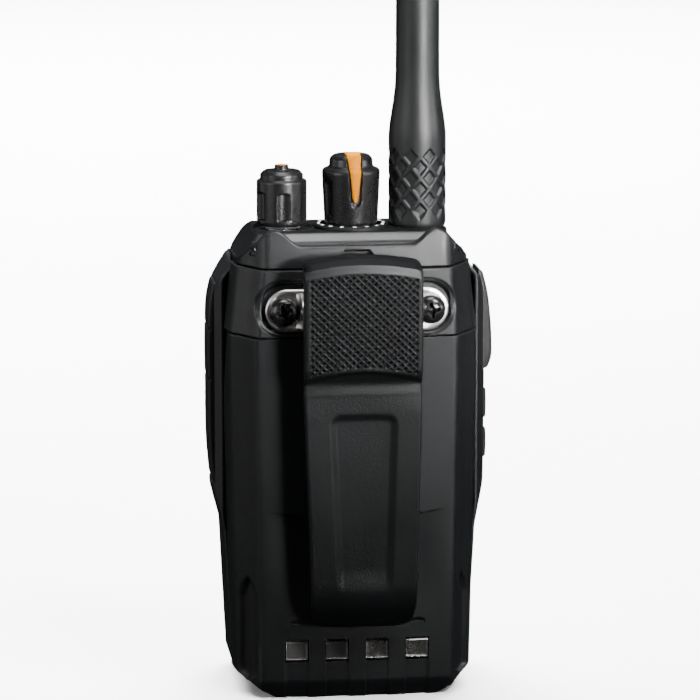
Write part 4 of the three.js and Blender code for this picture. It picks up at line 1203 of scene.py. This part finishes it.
KEPT = {
    "cast": ["chassis"],
    "rubber": ["housing_gasket"],
    "nickel": ["rf_shield", "push_to_talk_switch", "microphone", "speaker_frame",
               "volume_potentiometer", "volume_shaft", "channel_switch", "channel_shaft",
               "battery_terminal_minus", "battery_terminal_plus",
               *(f"chassis_screw_{i}" for i in (1, 2, 3, 4))],
    "board": ["main_board", "battery_board"],
    "case": ["jack_block", "terminal_block", "battery_inner_cover", "battery_latch"],
    "brass": ["antenna_socket", "antenna_connector", "antenna_element"],
    "steel": ["hinge_pin", "clip_spring", "volume_nut", "channel_nut"],
    "lens": ["status_lens"],
    "paper": ["speaker_cone", "speaker_cloth"],
    "magnet": ["speaker_magnet"],
    "cell": ["battery_cell_left", "battery_cell_right"],
}


def dress_kept_nodes():
    for look, names in KEPT.items():
        for name in names:
            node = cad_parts[name]
            node.data.materials.clear()
            node.data.materials.append(MATERIALS[look])


# Stage, lights and camera, in metres.
FLOOR_HALF = 6.0
CONTROLS, BODY = (0.01, -0.01, 0.155), (0, 0, 0.07)      # what the lights are aimed at
CAMERA_PLACE = Vector((-0.09147, -0.80281, 0.220))
CAMERA_TARGET = Vector((0.0005, 0, 0.071))
LENS_LENGTH, SENSOR_WIDTH = 200.2, 36


def stage_and_lights():
    """A pale floor, and lamps that light the controls more than the battery.

    The key and the side lamp stand on the right, the fill and the rim on the left, two soft
    ones above. The background lamp whitens the floor behind. Reflections don't show it.
    """
    floor_mesh = bpy.data.meshes.new("studio_floor")
    corners = [(x * FLOOR_HALF, y * FLOOR_HALF, 0) for x, y in ((-1, -1), (1, -1), (1, 1), (-1, 1))]
    floor_mesh.from_pydata(corners, [], [(0, 1, 2, 3)])
    floor = bpy.data.objects.new("studio_floor", floor_mesh)
    bpy.context.scene.collection.objects.link(floor)
    floor.data.materials.append(surfaced("pale_floor", (0.86, 0.86, 0.86), (0.9, 0.9, 0.9),
                                         (0.7, 0.8), 4.0, 0.02, mottle=0.01))
    floor.visible_glossy = False
    floor.visible_diffuse = False
    studio_world()

    add_light("key", (0.29, -0.59, 0.2), CONTROLS, 0.16, 0.5, spread=22)
    add_light("top_soft", (0.3, -0.36, 0.6), (0, -0.02, 0.08), 0.25, 1.0, spread=50)
    add_light("overhead", (0.02, -0.02, 0.9), (0, -0.01, 0.09), 0.45, 1.2, spread=60)
    add_light("fill", (-0.9, -0.5, 0.3), BODY, 0.6, 6)
    add_light("side", (0.75, -0.3, 0.22), CONTROLS, 0.2, 0.1, spread=24)
    add_light("left_rim", (-0.8, 0.2, 0.14), BODY, 0.5, 0.2, spread=70)
    distance = add_light("background", (0, 1.1, 0.9), (0, 0.8, 0), 1.6, 165, spread=120)
    distance.visible_glossy = False


def studio_world():
    """Soft light from above, and darkness below the horizon."""
    world = bpy.data.worlds.new("studio")
    bpy.context.scene.world = world
    world.use_nodes = True
    tree = world.node_tree
    place = linked(tree, "ShaderNodeTexCoord")
    split = linked(tree, "ShaderNodeSeparateXYZ", {0: place.outputs["Generated"]})
    sky = ranged(tree, split.outputs["Z"], 0.07, 0.6, 0.2, 0.8)
    tree.links.new(sky, tree.nodes["Background"].inputs["Strength"])


def add_light(name, place, target, size, power, spread=180):
    lamp = bpy.data.lights.new(name, "AREA")
    lamp.shape = "SQUARE"
    lamp.size = size
    lamp.energy = power
    lamp.spread = math.radians(spread)
    light = bpy.data.objects.new(name, lamp)
    light.location = place
    light.rotation_euler = (Vector(target) - Vector(place)).to_track_quat("-Z", "Y").to_euler()
    light.visible_camera = False
    bpy.context.scene.collection.objects.link(light)
    return light


def add_camera():
    lens = bpy.data.cameras.new("camera")
    lens.lens = LENS_LENGTH
    lens.sensor_width = SENSOR_WIDTH
    lens.clip_end = 10
    camera = bpy.data.objects.new("camera", lens)
    camera.location = CAMERA_PLACE
    camera.rotation_euler = (CAMERA_TARGET - CAMERA_PLACE).to_track_quat("-Z", "Y").to_euler()
    bpy.context.scene.collection.objects.link(camera)
    bpy.context.scene.camera = camera


def build():
    add_camera()
    stage_and_lights()
    MATERIALS.update(all_materials())
    dress_kept_nodes()
    battery_case()
    for index in (1, 2, 3, 4):
        charge_contact(index)
    rear_cover()
    top_cover()
    front_housing()
    push_to_talk()
    for node in ("side_key_lower", "side_key_upper"):
        side_key(node)
    jack_cover()
    belt_clip()
    clip_bracket()
    for node in ("clip_screw_left", "clip_screw_right"):
        clip_screw(node)
    volume_knob()
    volume_pin()
    channel_knob()
    channel_pointer()
    dial_ring()
    antenna_sheath()


build()
